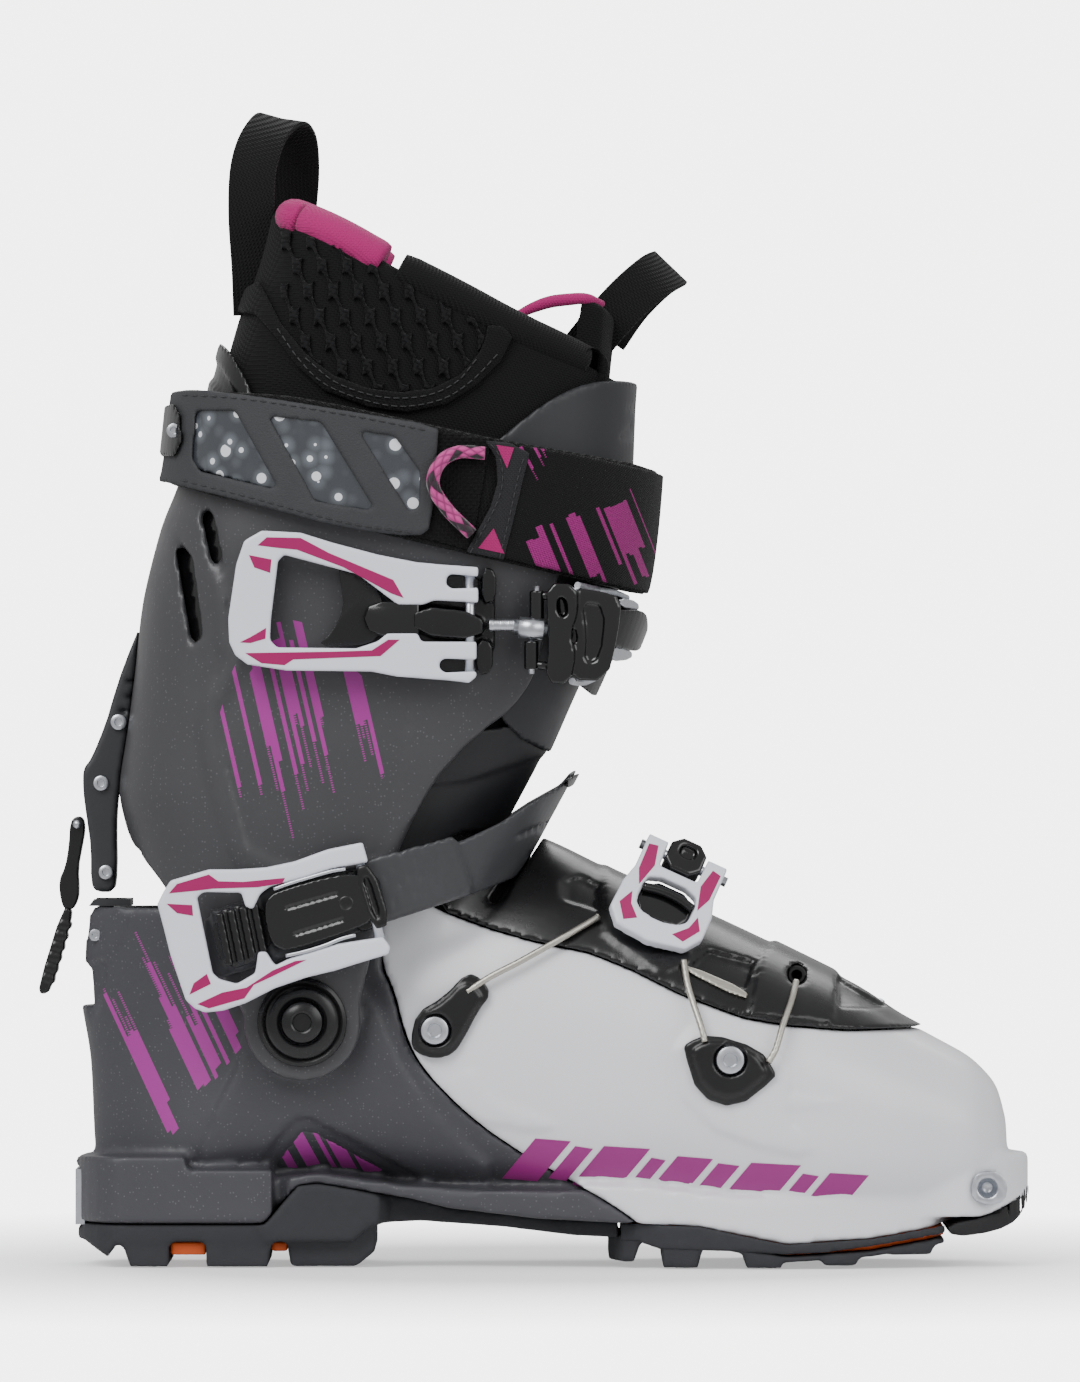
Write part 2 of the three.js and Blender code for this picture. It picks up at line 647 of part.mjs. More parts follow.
const lobeRadius = 17.6;
const lobe = [];
for (let i = 0; i <= 12; i++) {
  const a = Math.PI * (0.95 + (i / 12) * 1.14);
  lobe.push([ankleX + lobeRadius * Math.cos(a), ankleZ + lobeRadius * Math.sin(a)]);
}
const cuffRegion = [
  [-20, 206], [-20, 135], [15, 132.5], [18.1, 126.1], [23.9, 119.2], [28.4, 113.4],
  ...lobe, [89.8, 93.2], [97.4, 123.1], [101.9, 133.1], [107.1, 143.1], [113.4, 151.2], [122.8, 160.6],
  [129.8, 165.5], [134.9, 171.2], [138.8, 177.6], [142, 190], [146, 205], [147, 222], [120, 232], [90, 243],
  [60, 251], [34, 259], [-20, 268],
];
const spineNotch = 24; // half width of the notch over the heel plate
const ventSlots = [
  [[30.3, 220], [36.3, 212.7], [39.6, 188.8], [36.3, 186.6], [33, 205]],
  [[37.5, 232.3], [42.7, 225.1], [46.9, 205.4], [42, 212]],
];
const cuffShell = legBand(0, -cuffWall)
  .intersect(sideRegion(cuffRegion))
  .subtract(join(ventSlots.map(outerSide)))
  .subtract(block([0, -spineNotch, 100], [34, spineNotch, 125]))
  .subtract(crossBar(ankleX, ankleZ, pivotBoltRadius + gap, -wide, wide, 20));
place(cuff, "cuff_shell", cuffShell, "grey");

for (const [side, word] of [[-1, "outer"], [1, "inner"]]) {
  const reach = legSide(75);
  const ring = crossBar(ankleX, ankleZ, pivotRadius, side * (reach + gap), side * (reach + 3), 28);
  const hole = crossBar(ankleX, ankleZ, pivotBoltRadius + gap, side * reach, side * (reach + 4), 20);
  place(cuff, "pivot_ring_" + word, ring.subtract(hole), "graphite");
}

const tongueRegion = [[126, 163], [200, 150], [200, 263], [172.4, 265.5], [157.3, 266], [144.6, 261],
  [129.8, 249.6], [120, 240], [118, 200]];
const cuffTongue = legBand(cuffInset, cuffInset - tongueWall).intersect(sideRegion(tongueRegion));
place(cuff, "cuff_tongue", cuffTongue, "graphite");

const spoilerRegion = [[20, 262], [20, 276], [40, 279], [47.8, 277.4], [55.1, 261.7], [66, 240], [60, 225], [20, 225]];
const spoiler = legBand(cuffInset, cuffInset - tongueWall).intersect(sideRegion(spoilerRegion));
place(cuff, "cuff_spoiler", spoiler, "black");

// ---- liner's leg part ----

const linerTop = [
  [-20, linerJoin], [90, linerJoin], [150, linerJoinFront], [200, linerJoinFront], [200, 262],
  [165.5, 266], [148.5, 278], [132.2, 286], [96, 305], [77, 316], [60, 320], [50, 300], [-20, 300],
];
const linerCuff = legBand(linerOuter, linerInner).intersect(sideRegion(linerTop));
place(cuff, "liner_cuff", linerCuff, "foam");

// Webbing loop that stands up in the YZ plane, leaned over about Y
function pullLoop(foot, tip, width, spread) {
  const length = Math.hypot(tip[0] - foot[0], tip[1] - foot[1]);
  const half = spread / 2;
  const outline = [[-half, 0]];
  const hole = [[-half + webbing, 5]];
  const steps = 8;
  for (let i = 0; i <= steps; i++) {
    const a = Math.PI - (i / steps) * Math.PI;
    outline.push([half * Math.cos(a), length - half + half * Math.sin(a)]);
    const inner = half - webbing;
    hole.push([inner * Math.cos(a), length - half + inner * Math.sin(a)]);
  }
  outline.push([half, 0]);
  hole.push([half - webbing, 5]);
  const shape = new THREE.Shape(loopOf(outline));
  shape.holes.push(new THREE.Path(loopOf(hole)));
  const geometry = new THREE.ExtrudeGeometry(shape, { depth: width, bevelEnabled: false });
  geometry.translate(0, 0, -width / 2);
  geometry.rotateX(Math.PI / 2);
  geometry.rotateZ(Math.PI / 2);
  geometry.rotateY(Math.atan2(tip[0] - foot[0], tip[1] - foot[1]));
  geometry.translate(foot[0], 0, foot[1]);
  return solidOf(geometry);
}
const linerRoom = legForm(linerOuter + gap);
const rearPullLoop = pullLoop([54.5, 310], [58, 346], 14, 26)
  .subtract(linerRoom.intersect(sideRegion(linerTop)));
place(cuff, "rear_pull_loop", rearPullLoop, "webbing");
const frontPullLoop = pullLoop([162, 272], [183, 301], 15, 22).subtract(linerRoom);
place(cuff, "front_pull_loop", frontPullLoop, "webbing");

// ---- power strap ----

const strapRegion = [
  [20, 238], [43.6, 230.8], [65.6, 226.6], [91.7, 219.9], [118.3, 213.6], [154.9, 205.4], [190, 198],
  [190, 235], [167.3, 241.1], [137.3, 246.2], [124, 247.4], [81.1, 258], [65.6, 260.8], [20, 264.4],
];
const strap = legBand(gap + strapWall, gap).intersect(sideRegion(strapRegion));
place(cuff, "power_strap", strap, "webbing");
const shieldInner = 2 * gap + strapWall;
const shieldRegion = [
  [20, 238], [43.6, 230.8], [65.6, 226.6], [91.7, 219.9], [104.1, 218], [109.8, 247.1], [111.3, 252],
  [81.1, 258], [65.6, 260.8], [20, 264.4],
];
const shieldBand = legBand(shieldInner + shieldWall, shieldInner).intersect(outerSide(shieldRegion));
place(cuff, "strap_shield", shieldBand, "graphite");

// A point of the side view, laid on the outer side at a distance from the leg form
const onLeg = (x, z, lift) => {
  const probe = block([x - 0.5, -wide, z - 0.5], [x + 0.5, 0, z + 0.5]).intersect(legForm(lift));
  return [x, probe.boundingBox().min[1], z];
};
const loopLift = shieldInner + loopDiameter / 2 + gap;
const fingerLoop = [
  onLeg(124, 243.5, loopLift), onLeg(116, 243.8, loopLift), onLeg(110.5, 240.5, loopLift + shieldWall),
  onLeg(108.6, 234, loopLift + shieldWall), onLeg(112.6, 227, loopLift + shieldWall), onLeg(120, 219.5, loopLift),
];

// ---- rear lock bar and walk lever ----

const lockBarOutline = [
  [19.7, 196], [14.5, 180], [11.2, 169.7], [9.4, 163.3], [4.8, 151.9], [2.4, 149.4],
  [2.4, 142.5], [3.6, 133.7], [4.8, 125.5], [4.8, 114.5], [6.4, 112], [11.8, 112], [12.6, 118], [12.4, 131.9],
  [12.7, 138.8], [13.9, 148.2], [16.9, 164.3], [20.6, 191.5], [22, 196],
];
const lockBarHalf = 8;
const lockBar = sidePlate(lockBarOutline, -lockBarHalf, lockBarHalf)
  .subtract(legForm(gap))
  .subtract(block([-20, -lockBarHalf + 2.5, 105], [6.3, lockBarHalf - 2.5, 136]));
place(cuff, "lock_bar", lockBar, "grey");
const barScrews = { top: [13.2, 163.3, 2.2], middle: [7.9, 144.9, 2.2], low: [9.4, 118, 2.0] };
for (const [word, [x, z, radius]] of Object.entries(barScrews)) {
  const head = crossBar(x, z, radius, -lockBarHalf - gap, -lockBarHalf - 2, 14);
  place(cuff, "lock_screw_" + word, head, "steel");
}

const walkLever = new THREE.Group();
cuff.add(walkLever);
const walkOutline = [
  [2.4, 134.5], [0.2, 135], [-1.6, 133], [-2, 126], [-3, 119.8], [-5, 115.3], [-4.6, 110.4],
  [-3.5, 106.8], [-1, 106.4], [0.6, 109], [1.2, 112], [0.8, 119.2], [2, 125.5], [3, 131],
];
const leverHalf = lockBarHalf - 2.5 - gap;
const walkBody = sidePlate(walkOutline, -leverHalf, leverHalf);
place(walkLever, "walk_lever", walkBody, "black");
const pullOutline = [[-3.6, 106], [-1.4, 106], [-1.6, 103], [-7.6, 82], [-10.4, 81], [-11, 83.5]];
place(walkLever, "walk_pull_tab", sidePlate(pullOutline, -6, 6), "black");

// ---- buckles ----

// A lever lies flat over its base on two stub pins of the base. Outlines are in the side view.
function hingeBlock(outline, yInner, yOuter, pins, yPin) {
  const body = sidePlate(outline, yInner, yOuter);
  const bars = pins.map(([from, to]) => bar([from[0], yPin, from[1]], [to[0], yPin, to[1]], hingePinRadius));
  return join([body, ...bars]);
}

const upperSide = -legSide(195);
const upperBaseInner = upperSide - gap;
const upperLeverInner = upperBaseInner - 3;
const upperPinX = 119.5;
const upperPinY = upperLeverInner - leverThickness / 2;
const upperOutline = [
  [52.3, 217.5], [57.5, 220.5], [69, 219.9], [78.6, 216.9], [92.3, 213.3], [103.5, 211.1],
  [117.7, 210.2], [122, 209.4], [122, 199], [108.9, 199.7], [105.3, 198.5], [103.5, 188.4], [104.7, 187.4],
  [121.5, 187.4], [121.5, 177], [119.2, 175.1], [113.7, 175.8], [97.7, 177], [90.1, 178.5], [64.7, 178.8],
  [53.2, 180.6], [49.6, 183.3], [47.8, 187.2], [47.5, 194.2], [49.9, 210.5],
];
const upperOpening = [
  [64.1, 213.3], [62.3, 211.4], [60.2, 194.2], [59.9, 187.9], [62, 185.7], [85.6, 185.4],
  [92, 187.5], [94, 195], [92, 203], [86, 207.5],
];
const upperBlock = [[105.4, 189.4], [123, 189.4], [123, 197.4], [106, 197.4]];
const upperFoot = sidePlate([[100, 178], [127, 178], [127, 208], [100, 208]], upperBaseInner, upperBaseInner - 1.6)
  .subtract(legForm(gap));
const upperBase = hingeBlock(upperBlock, upperBaseInner, upperLeverInner - leverThickness,
  [[[upperPinX, 185], [upperPinX, 202]]], upperPinY).add(upperFoot);
place(cuff, "upper_buckle_base", upperBase, "black");

const upperLever = new THREE.Group();
cuff.add(upperLever);
const pinHole = (from, to, y) =>
  bar([from[0], y, from[1]], [to[0], y, to[1]], hingePinRadius + hingeClearance);
const upperLeverBody = sidePlate(upperOutline, upperLeverInner, upperLeverInner - leverThickness, [upperOpening])
  .subtract(pinHole([upperPinX, 184.6], [upperPinX, 202.4], upperPinY));
place(upperLever, "upper_buckle_lever", upperLeverBody, "white");

// Link from the lever to the catch on the front of the cuff
const upperLink = new THREE.Group();
cuff.add(upperLink);
const rodY = upperPinY;
const rodZ = 192.4;
const rodStart = 124 + gap;
const rod = bar([rodStart, rodY, rodZ], [134, rodY, rodZ], 1.9);
const nut = bar([133.5, rodY, rodZ - 1], [142, rodY + 0.6, rodZ - 1.4], 3.2, 6);
place(upperLink, "upper_rod", rod.add(nut), "steel");
const frameY = rodY + 1;
const frameOutline = [[142.4, 206], [150.3, 206], [151.5, 196], [148, 173.9], [141.5, 174.5], [142.4, 184]];
const frameOpening = [[145.2, 203], [148, 203], [148.8, 196], [146.3, 177], [144.2, 177.4], [144.8, 190]];
const catchFrame = sidePlate(frameOutline, frameY + 2, frameY - 2, [frameOpening])
  .subtract(bar([132, rodY, rodZ - 1], [143.2, rodY + 0.6, rodZ - 1.4], 3.2 + gap, 12));
place(upperLink, "catch_frame", catchFrame, "black");
const wireRadius = 1.1;
const wireLift = 3.2;
const wires = [
  { word: "upper", start: [151.6, frameY, 204.2], rest: [[157.5, 203], [163, 202], [166.4, 200.6]] },
  { word: "lower", start: [150, frameY, 175.6], rest: [[153, 175.4], [156, 176], [159, 179]] },
];
for (const { word, start, rest } of wires) {
  const path = [start, ...rest.map(([x, z]) => onLeg(x, z, wireLift))];
  place(upperLink, "catch_wire_" + word, tube(path, wireRadius, 8), "steel");
}
const hookRegion = [[160.5, 197.4], [168.5, 198.6], [178, 197], [174, 186], [160, 180.6], [158, 183]];
const hook = legBand(5.4, 1.2).intersect(outerSide(hookRegion));
place(upperLink, "catch_hook", hook, "black");

// ---- ankle strap and buckle ----

const ladderOutline = [
  [95.3, 103.8], [121.3, 112.2], [134, 117.1], [154.3, 125.2], [170, 132], [170, 156],
  [149.7, 148.2], [146.4, 144.3], [136.7, 138.8], [128.6, 133.4], [117.1, 128], [89.5, 121.6],
];
const tailOutline = [[97, 104.4], [62, 92], [42, 86], [39.6, 104], [60, 114.6], [91, 122]];
const ladderBand = legBand(ladderOuter, ladderInner);
const ladderSlots = [
  [[133, 128], [151, 136.8], [151, 138.2], [133, 129.4]],
  [[136, 122.6], [152, 129.8], [152, 131.2], [136, 124]],
];
const ladder = ladderBand
  .intersect(sideRegion(ladderOutline).add(outerSide(tailOutline)))
  .subtract(join(ladderSlots.map(outerSide)));
place(shell, "ankle_ladder_strap", ladder, "graphite");

const ankleSide = -legSide(105);
const ankleBaseInner = ankleSide - 0.8;
const ankleLeverInner = ankleSide - ladderOuter - 1;
const anklePinY = ankleLeverInner - leverThickness / 2;
const ankleBlockOutline = [[83.5, 119.4], [90.5, 120], [95.4, 101.5], [87.4, 99.6]];
const anklePinLine = [[86.2, 123.2], [93.2, 96.6]];
const ankleOutline = [
  [28.1, 112.8], [30.2, 116.2], [41.7, 119.5], [49.6, 119.5], [58.7, 120.1], [67.2, 121.9],
  [77.1, 125.5], [87.5, 127.6], [89.2, 121.6], [78.6, 119.8], [70.2, 117], [60, 114.4], [52, 108.4],
  [52, 98.6], [60, 92.6], [66, 92.6], [80, 97.4], [93.6, 99.4], [95.8, 96.4], [95.2, 94.2], [86.5, 91.6],
  [79.6, 89.4], [70.8, 87.3], [61.4, 84.1], [52.6, 79.6], [46, 77.4], [40.5, 76.8], [37.5, 78],
  [34.8, 80.5], [30.2, 94.1], [28.1, 102.5], [26.3, 109.2],
];
const ankleOpening = [[38.1, 111.3], [40.2, 112.8], [47, 112.4], [47, 97], [44.8, 87.2], [42.8, 88.6]];
const ankleLever = new THREE.Group();
shell.add(ankleLever);
const ankleLeverBody = sidePlate(ankleOutline, ankleLeverInner, ankleLeverInner - leverThickness, [ankleOpening])
  .subtract(pinHole(...anklePinLine, anklePinY));
place(ankleLever, "ankle_buckle_lever", ankleLeverBody, "white");
const ankleBase = hingeBlock(ankleBlockOutline, ankleLeverInner, ankleLeverInner - leverThickness,
  [anklePinLine], anklePinY);
place(shell, "ankle_buckle_base", ankleBase, "black");
const ratchet = new THREE.Group();
shell.add(ratchet);
const coverOutline = [[58.7, 110.7], [82.6, 117.6], [86.2, 101.2], [67.8, 95.3]];
place(ratchet, "ratchet_cover", sidePlate(coverOutline, ankleLeverInner, ankleLeverInner - 4), "black");

// ---- instep buckle ----

const instep = new THREE.Group();
const instepAt = [ahead(183), -25.5, 120];
const instepLean = 0.5; // the instep turns the buckle's face upwards
const instepTwist = 0.43;
instep.position.set(...instepAt);
instep.rotation.set(-instepLean, instepTwist, 0, "YXZ");
shell.add(instep);
const instepThickness = 4;
const instepPin = [[-11, 0], [11, 0]];
const instepOutline = [
  [-12.5, 2.6], [-6.5, 2.6], [-6.5, -5], [6.5, -5], [6.5, 2.6], [12.5, 2.6], [12.5, -8],
  [14, -14], [14, -22], [11, -27], [0, -29.5], [-11, -28.5], [-14.5, -24], [-14, -14], [-12.5, -8],
];
const instepOpening = [
  [-8, -9], [8, -9], [9.5, -15], [8.5, -21], [0, -23.5], [-8.5, -21.5], [-9.5, -15],
];
const instepLeverBody = sidePlate(instepOutline, -gap, -gap - instepThickness, [instepOpening])
  .subtract(pinHole([-13, 0], [13, 0], -gap - instepThickness / 2));
const instepBlock = [[-5.8, -4.2], [5.8, -4.2], [5.8, 4], [-5.8, 4]];
const instepBase = hingeBlock(instepBlock, 3, -gap - instepThickness, [instepPin], -gap - instepThickness / 2);
place(instep, "instep_buckle_base", instepBase, "black");
const instepLever = new THREE.Group();
instep.add(instepLever);
place(instepLever, "instep_buckle_lever", instepLeverBody, "white");

// The origin is the middle of the footprint, on the ground. The soft finger loop doesn't count in it.
const box = new THREE.Box3().setFromObject(boot);
const middle = box.getCenter(new THREE.Vector3());
place(cuff, "finger_loop", tube(fingerLoop, loopDiameter / 2, 18), "pink");
boot.position.set(-middle.x, -middle.y, -box.min.z);
export default boot;
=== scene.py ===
import math

import bmesh
import bpy
from mathutils import Matrix, Vector


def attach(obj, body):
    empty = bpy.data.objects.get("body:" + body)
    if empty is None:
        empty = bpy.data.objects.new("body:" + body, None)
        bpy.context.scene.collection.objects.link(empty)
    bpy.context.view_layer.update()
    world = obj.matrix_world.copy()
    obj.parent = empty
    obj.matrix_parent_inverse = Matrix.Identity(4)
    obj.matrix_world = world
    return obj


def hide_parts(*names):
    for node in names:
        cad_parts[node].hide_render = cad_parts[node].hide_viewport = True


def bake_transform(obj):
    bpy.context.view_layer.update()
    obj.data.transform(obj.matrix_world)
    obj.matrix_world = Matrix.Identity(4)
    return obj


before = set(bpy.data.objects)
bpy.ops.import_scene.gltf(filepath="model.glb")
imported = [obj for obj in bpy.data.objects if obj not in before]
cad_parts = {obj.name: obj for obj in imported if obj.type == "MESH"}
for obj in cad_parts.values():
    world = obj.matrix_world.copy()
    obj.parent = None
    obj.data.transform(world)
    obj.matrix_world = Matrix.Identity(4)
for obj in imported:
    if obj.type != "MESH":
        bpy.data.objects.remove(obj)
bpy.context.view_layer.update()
print("stage: frame loaded")

origin = (138.5, -1.3949)
wide = 200


def spot(x, y, z):
    return Vector(((x - origin[0]) / 1000, (y - origin[1]) / 1000, z / 1000))


# camera first, because the cord is checked against its view
view = {"distance": 4.0, "centre": (140.4, 172.7), "tall": 0.4180}
cameraData = bpy.data.cameras.new("camera")
camera = bpy.data.objects.new("camera", cameraData)
bpy.context.scene.collection.objects.link(camera)
cameraData.sensor_fit = "VERTICAL"
cameraData.sensor_height = 36
cameraData.sensor_width = 36
cameraData.lens = 36 * view["distance"] / view["tall"]
cameraData.clip_end = 20
aim = spot(view["centre"][0], 0, view["centre"][1])
camera.location = aim + Vector((0, -view["distance"], 0))
camera.rotation_euler = (math.pi / 2, 0, 0)
bpy.context.scene.camera = camera


# mesh tools


def linked(name, bm):
    bmesh.ops.recalc_face_normals(bm, faces=bm.faces)
    mesh = bpy.data.meshes.new(name)
    bm.to_mesh(mesh)
    bm.free()
    made = bpy.data.objects.new(name, mesh)
    bpy.context.scene.collection.objects.link(made)
    return made


def drop(made):
    mesh = made.data
    bpy.data.objects.remove(made)
    if not mesh.users:
        bpy.data.meshes.remove(mesh)


def bake(made):
    # modifiers become the mesh
    depsgraph = bpy.context.evaluated_depsgraph_get()
    old = made.data
    made.data = bpy.data.meshes.new_from_object(made.evaluated_get(depsgraph))
    made.modifiers.clear()
    if not old.users:
        bpy.data.meshes.remove(old)
    made.data.name = made.name
    return made


def skinRings(name, rings, closed=False):
    # a skin over rings of points, capped at both ends unless the last meets the first
    bm = bmesh.new()
    loops = []
    for ring in rings:
        verts = bmesh.ops.create_circle(bm, segments=len(ring), radius=0.001)["verts"]
        for vert, place in zip(verts, ring):
            vert.co = place
        loops.append(list({edge for vert in verts for edge in vert.link_edges}))
    for one, other in zip(loops, loops[1:] + (loops[:1] if closed else [])):
        bmesh.ops.bridge_loops(bm, edges=one + other)
    if not closed:
        bmesh.ops.holes_fill(bm, edges=loops[0] + loops[-1])
    return linked(name, bm)


def prism(outline, near=-wide, far=wide, name="prism"):
    # a side outline swept across the boot, between two distances from its middle
    bm = bmesh.new()
    verts = [bm.verts.new(spot(x, near, z)) for x, z in outline]
    made = bmesh.ops.extrude_face_region(bm, geom=[bm.faces.new(verts)])
    moved = [v for v in made["geom"] if isinstance(v, bmesh.types.BMVert)]
    bmesh.ops.translate(bm, verts=moved, vec=(0, (far - near) / 1000, 0))
    return linked(name, bm)


def slab(outline, low, high, name="slab"):
    # a floor outline raised between two heights
    bm = bmesh.new()
    verts = [bm.verts.new(spot(x, y, low)) for x, y in outline]
    made = bmesh.ops.extrude_face_region(bm, geom=[bm.faces.new(verts)])
    moved = [v for v in made["geom"] if isinstance(v, bmesh.types.BMVert)]
    bmesh.ops.translate(bm, verts=moved, vec=(0, 0, (high - low) / 1000))
    return linked(name, bm)


def block(low, high, name="block"):
    return slab([(low[0], low[1]), (high[0], low[1]), (high[0], high[1]), (low[0], high[1])], low[2],
        high[2], name)


def smoothed(outline, turns=2, cut=0.25):
    # corners cut again and again, for a flowing outline
    for _ in range(turns):
        rounder = []
        for (ax, az), (bx, bz) in zip(outline, outline[1:] + outline[:1]):
            rounder.append((ax + (bx - ax) * cut, az + (bz - az) * cut))
            rounder.append((bx - (bx - ax) * cut, bz - (bz - az) * cut))
        outline = rounder
    return outline


def carve(made, *steps):
    # steps are pairs of a word and a solid, which is used up
    operations = {"cut": "DIFFERENCE", "keep": "INTERSECT", "add": "UNION"}
    for word, other in steps:
        boolean = made.modifiers.new(word, "BOOLEAN")
        boolean.operation = operations[word]
        boolean.solver = "MANIFOLD"
        boolean.object = other
    bake(made)
    for other in {other for _, other in steps}:
        drop(other)
    return made


def mould(made, voxel, rounds=3, factor=0.5):
    # even skin with soft edges, as a moulded part has
    remesh = made.modifiers.new("even", "REMESH")
    remesh.mode = "VOXEL"
    remesh.voxel_size = voxel / 1000
    remesh.use_smooth_shade = True
    if rounds:
        smooth = made.modifiers.new("soft", "SMOOTH")
        smooth.iterations = rounds
        smooth.factor = factor
    bake(made)
    for polygon in made.data.polygons:
        polygon.use_smooth = True
    return made


def copied(made, name):
    twin = bpy.data.objects.new(name, made.data.copy())
    bpy.context.scene.collection.objects.link(twin)
    return twin


def circleAt(centre, across, up, radius, count=12):
    turns = (2 * math.pi * k / count for k in range(count))
    return [centre + across * (radius * math.cos(a)) + up * (radius * math.sin(a)) for a in turns]


def smoothPath(points, steps=6):
    # a curve through its points
    padded = [points[0] * 2 - points[1], *points, points[-1] * 2 - points[-2]]
    path = []
    for a, b, c, d in zip(padded, padded[1:], padded[2:], padded[3:]):
        for step in range(steps):
            t = step / steps
            path.append(
                0.5 * (2 * b + (c - a) * t + (2 * a - 5 * b + 4 * c - d) * t * t + (3 * b - a - 3 * c + d) * t**3)
            )
    return path + [points[-1].copy()]


def along(path, closed=False):
    # the direction at each point of a path
    last = len(path) - 1
    if closed:
        return [(path[(i + 1) % len(path)] - path[i - 1]).normalized() for i in range(len(path))]
    return [(path[min(i + 1, last)] - path[max(i - 1, 0)]).normalized() for i in range(len(path))]


def rod(name, points, radius, count=12, steps=6, closed=False, straight=False):
    # a round bar along a curve, its radius in millimetres or a function of the share gone along it
    path = points if straight else smoothPath(points, steps)
    side = None
    rings = []
    for i, (place, ahead) in enumerate(zip(path, along(path, closed))):
        if side is None:
            side = ahead.orthogonal().normalized()
        side = (side - ahead * side.dot(ahead)).normalized()
        size = radius(i / (len(path) - 1)) if callable(radius) else radius
        rings.append(circleAt(place, side, ahead.cross(side), size / 1000, count))
    made = skinRings(name, rings, closed)
    gone = [0.0]
    for one, other in zip(path, path[1:]):
        gone.append(gone[-1] + (other - one).length)
    lay = made.data.attributes.new("lay", "FLOAT_VECTOR", "POINT")
    turns = [2 * math.pi * k / count for k in range(count)]
    lay.data.foreach_set("vector", [part for far in gone for a in turns for part in (math.cos(a),
        math.sin(a), far)])
    return shadeSmooth(made)


def shadeSmooth(made, angle=None):
    for polygon in made.data.polygons:
        polygon.use_smooth = True
    if angle is not None:
        bm = bmesh.new()
        bm.from_mesh(made.data)
        for edge in bm.edges:
            edge.smooth = edge.calc_face_angle(0) < math.radians(angle)
        bm.to_mesh(made.data)
        bm.free()
    return made


def turned(name, centre, axis, profile, count=48):
    # profile is radius and distance along the axis, spun right round, starting and ending on the axis
    axis = Vector(axis).normalized()
    side = axis.orthogonal().normalized()
    bm = bmesh.new()
    verts = [bm.verts.new(centre + side * (r / 1000) + axis * (d / 1000)) for r, d in profile]
    edges = [bm.edges.new(pair) for pair in zip(verts, verts[1:])]
    bmesh.ops.spin(
        bm, geom=verts + edges, cent=centre, axis=axis, angle=2 * math.pi, steps=count, use_merge=True,
        use_duplicate=False
    )
    bmesh.ops.remove_doubles(bm, verts=bm.verts, dist=1e-6)
    return shadeSmooth(linked(name, bm), 32)


def welded(name, *parts):
    # several closed solids as one piece
    bm = bmesh.new()
    for part in parts:
        bm.from_mesh(part.data)
        drop(part)
    mesh = bpy.data.meshes.new(name)
    bm.to_mesh(mesh)
    bm.free()
    made = bpy.data.objects.new(name, mesh)
    bpy.context.scene.collection.objects.link(made)
    return made


# the two body forms: rings that each join a front and a rear point, with a half width

foot = {
    "squareness": 2.25,
    "rings": [
        ((281, 44), (281.5, 26), 13, 1), ((278, 54), (279, 18), 24, 0.9),
        ((270.5, 62), (271, 14.5), 33, 0.7),
        ((260, 68), (258, 12), 39, 0.4), ((249, 74), (240, 9.5), 45, 0.2), ((236, 82.5), (220, 8), 49, 0),
        ((216, 92.5), (198, 10.5), 51, 0), ((196, 102), (172, 15), 50, 0), ((178, 110), (142, 16), 46, 0),
        ((164, 116), (110, 21), 42, 0), ((154, 121), (76, 25), 39, 0), ((146, 125), (40, 20), 36, 0),
        ((139, 128), (10, 14), 33, 0), ((133, 130), (6, 34), 31, 0), ((128, 131), (4.5, 62), 31, 0),
        ((124, 132), (1, 85), 32.5, 0), ((121, 133), (3.5, 108), 34.5, 0),
    ],
}
leg = {
    "squareness": 3,
    "rings": [
        ((106, 50), (32, 50), 46, 0), ((113, 75), (26, 75), 46, 0), ((120, 97), (20, 98), 46, 0),
        ((129, 118), (17, 125), 46.5, 0), ((138, 135), (13.3, 142), 48, 0),
        ((147, 152), (15.7, 160), 50, 0),
        ((155, 170), (18, 178), 51, 0), ((163, 188), (20.5, 200), 52, 0), ((169, 205), (26, 222), 54, 0),
        ((171.5, 222), (32, 238), 55, 0), ((173, 240), (35, 262), 56, 0), ((174, 262), (41, 285), 56, 0),
        ((177, 290), (49, 310), 56, 0), ((180, 330), (57, 350), 56, 0),
    ],
}


def denser(form, steps=4):
    # rings between the rings, on smooth curves
    flat = [Vector((*front, *rear)) for front, rear, _, _ in form["rings"]]
    sizes = [Vector((half, nose, 0)) for _, _, half, nose in form["rings"]]
    made = []
    for i in range(len(flat) - 1):
        for step in range(steps):
            t = step / steps
            places = []
            for row in (flat, sizes):
                a, b, c, d = (row[min(max(k, 0), len(row) - 1)] for k in (i - 1, i, i + 1, i + 2))
                lean = 0.4
                m, n = (c - a) * lean, (d - b) * lean
                places.append(
                    b * (2 * t**3 - 3 * t**2 + 1) + m * (t**3 - 2 * t**2 + t) + c * (3 * t**2 - 2 * t**3) + n * (t**3 - t**2)
                )
            made.append((places[0], places[1][0], places[1][1]))
    made.append((flat[-1], sizes[-1][0], sizes[-1][1]))
    return made


for form in (foot, leg):
    form["dense"] = denser(form)
    form["made"] = {}


def body(form, outset, name="body", count=96):
    # the solid form, grown or shrunk by a distance
    if outset not in form["made"]:
        rings = []
        power = 2 / form["squareness"]
        for flat, half, nose in form["dense"]:
            front, rear = Vector((flat[0], 0, flat[1])), Vector((flat[2], 0, flat[3]))
            reach = (front - rear) / 2
            if min(reach.length, half) + outset < 2:
                continue
            centre = (front + rear) / 2 + Vector((outset * nose, 0, 0))
            reach = reach.normalized() * (reach.length + outset)
            ring = []
            for k in range(count):
                a = 2 * math.pi * k / count
                c, s = math.cos(a), math.sin(a)
                place = centre + reach * math.copysign(abs(c) ** power, c)
                place.y = (half + outset) * math.copysign(abs(s) ** power, s)
                ring.append(spot(*place))
            rings.append(ring)
        form["made"][outset] = skinRings("form", rings)
        form["made"][outset].hide_render = True
    return copied(form["made"][outset], name)


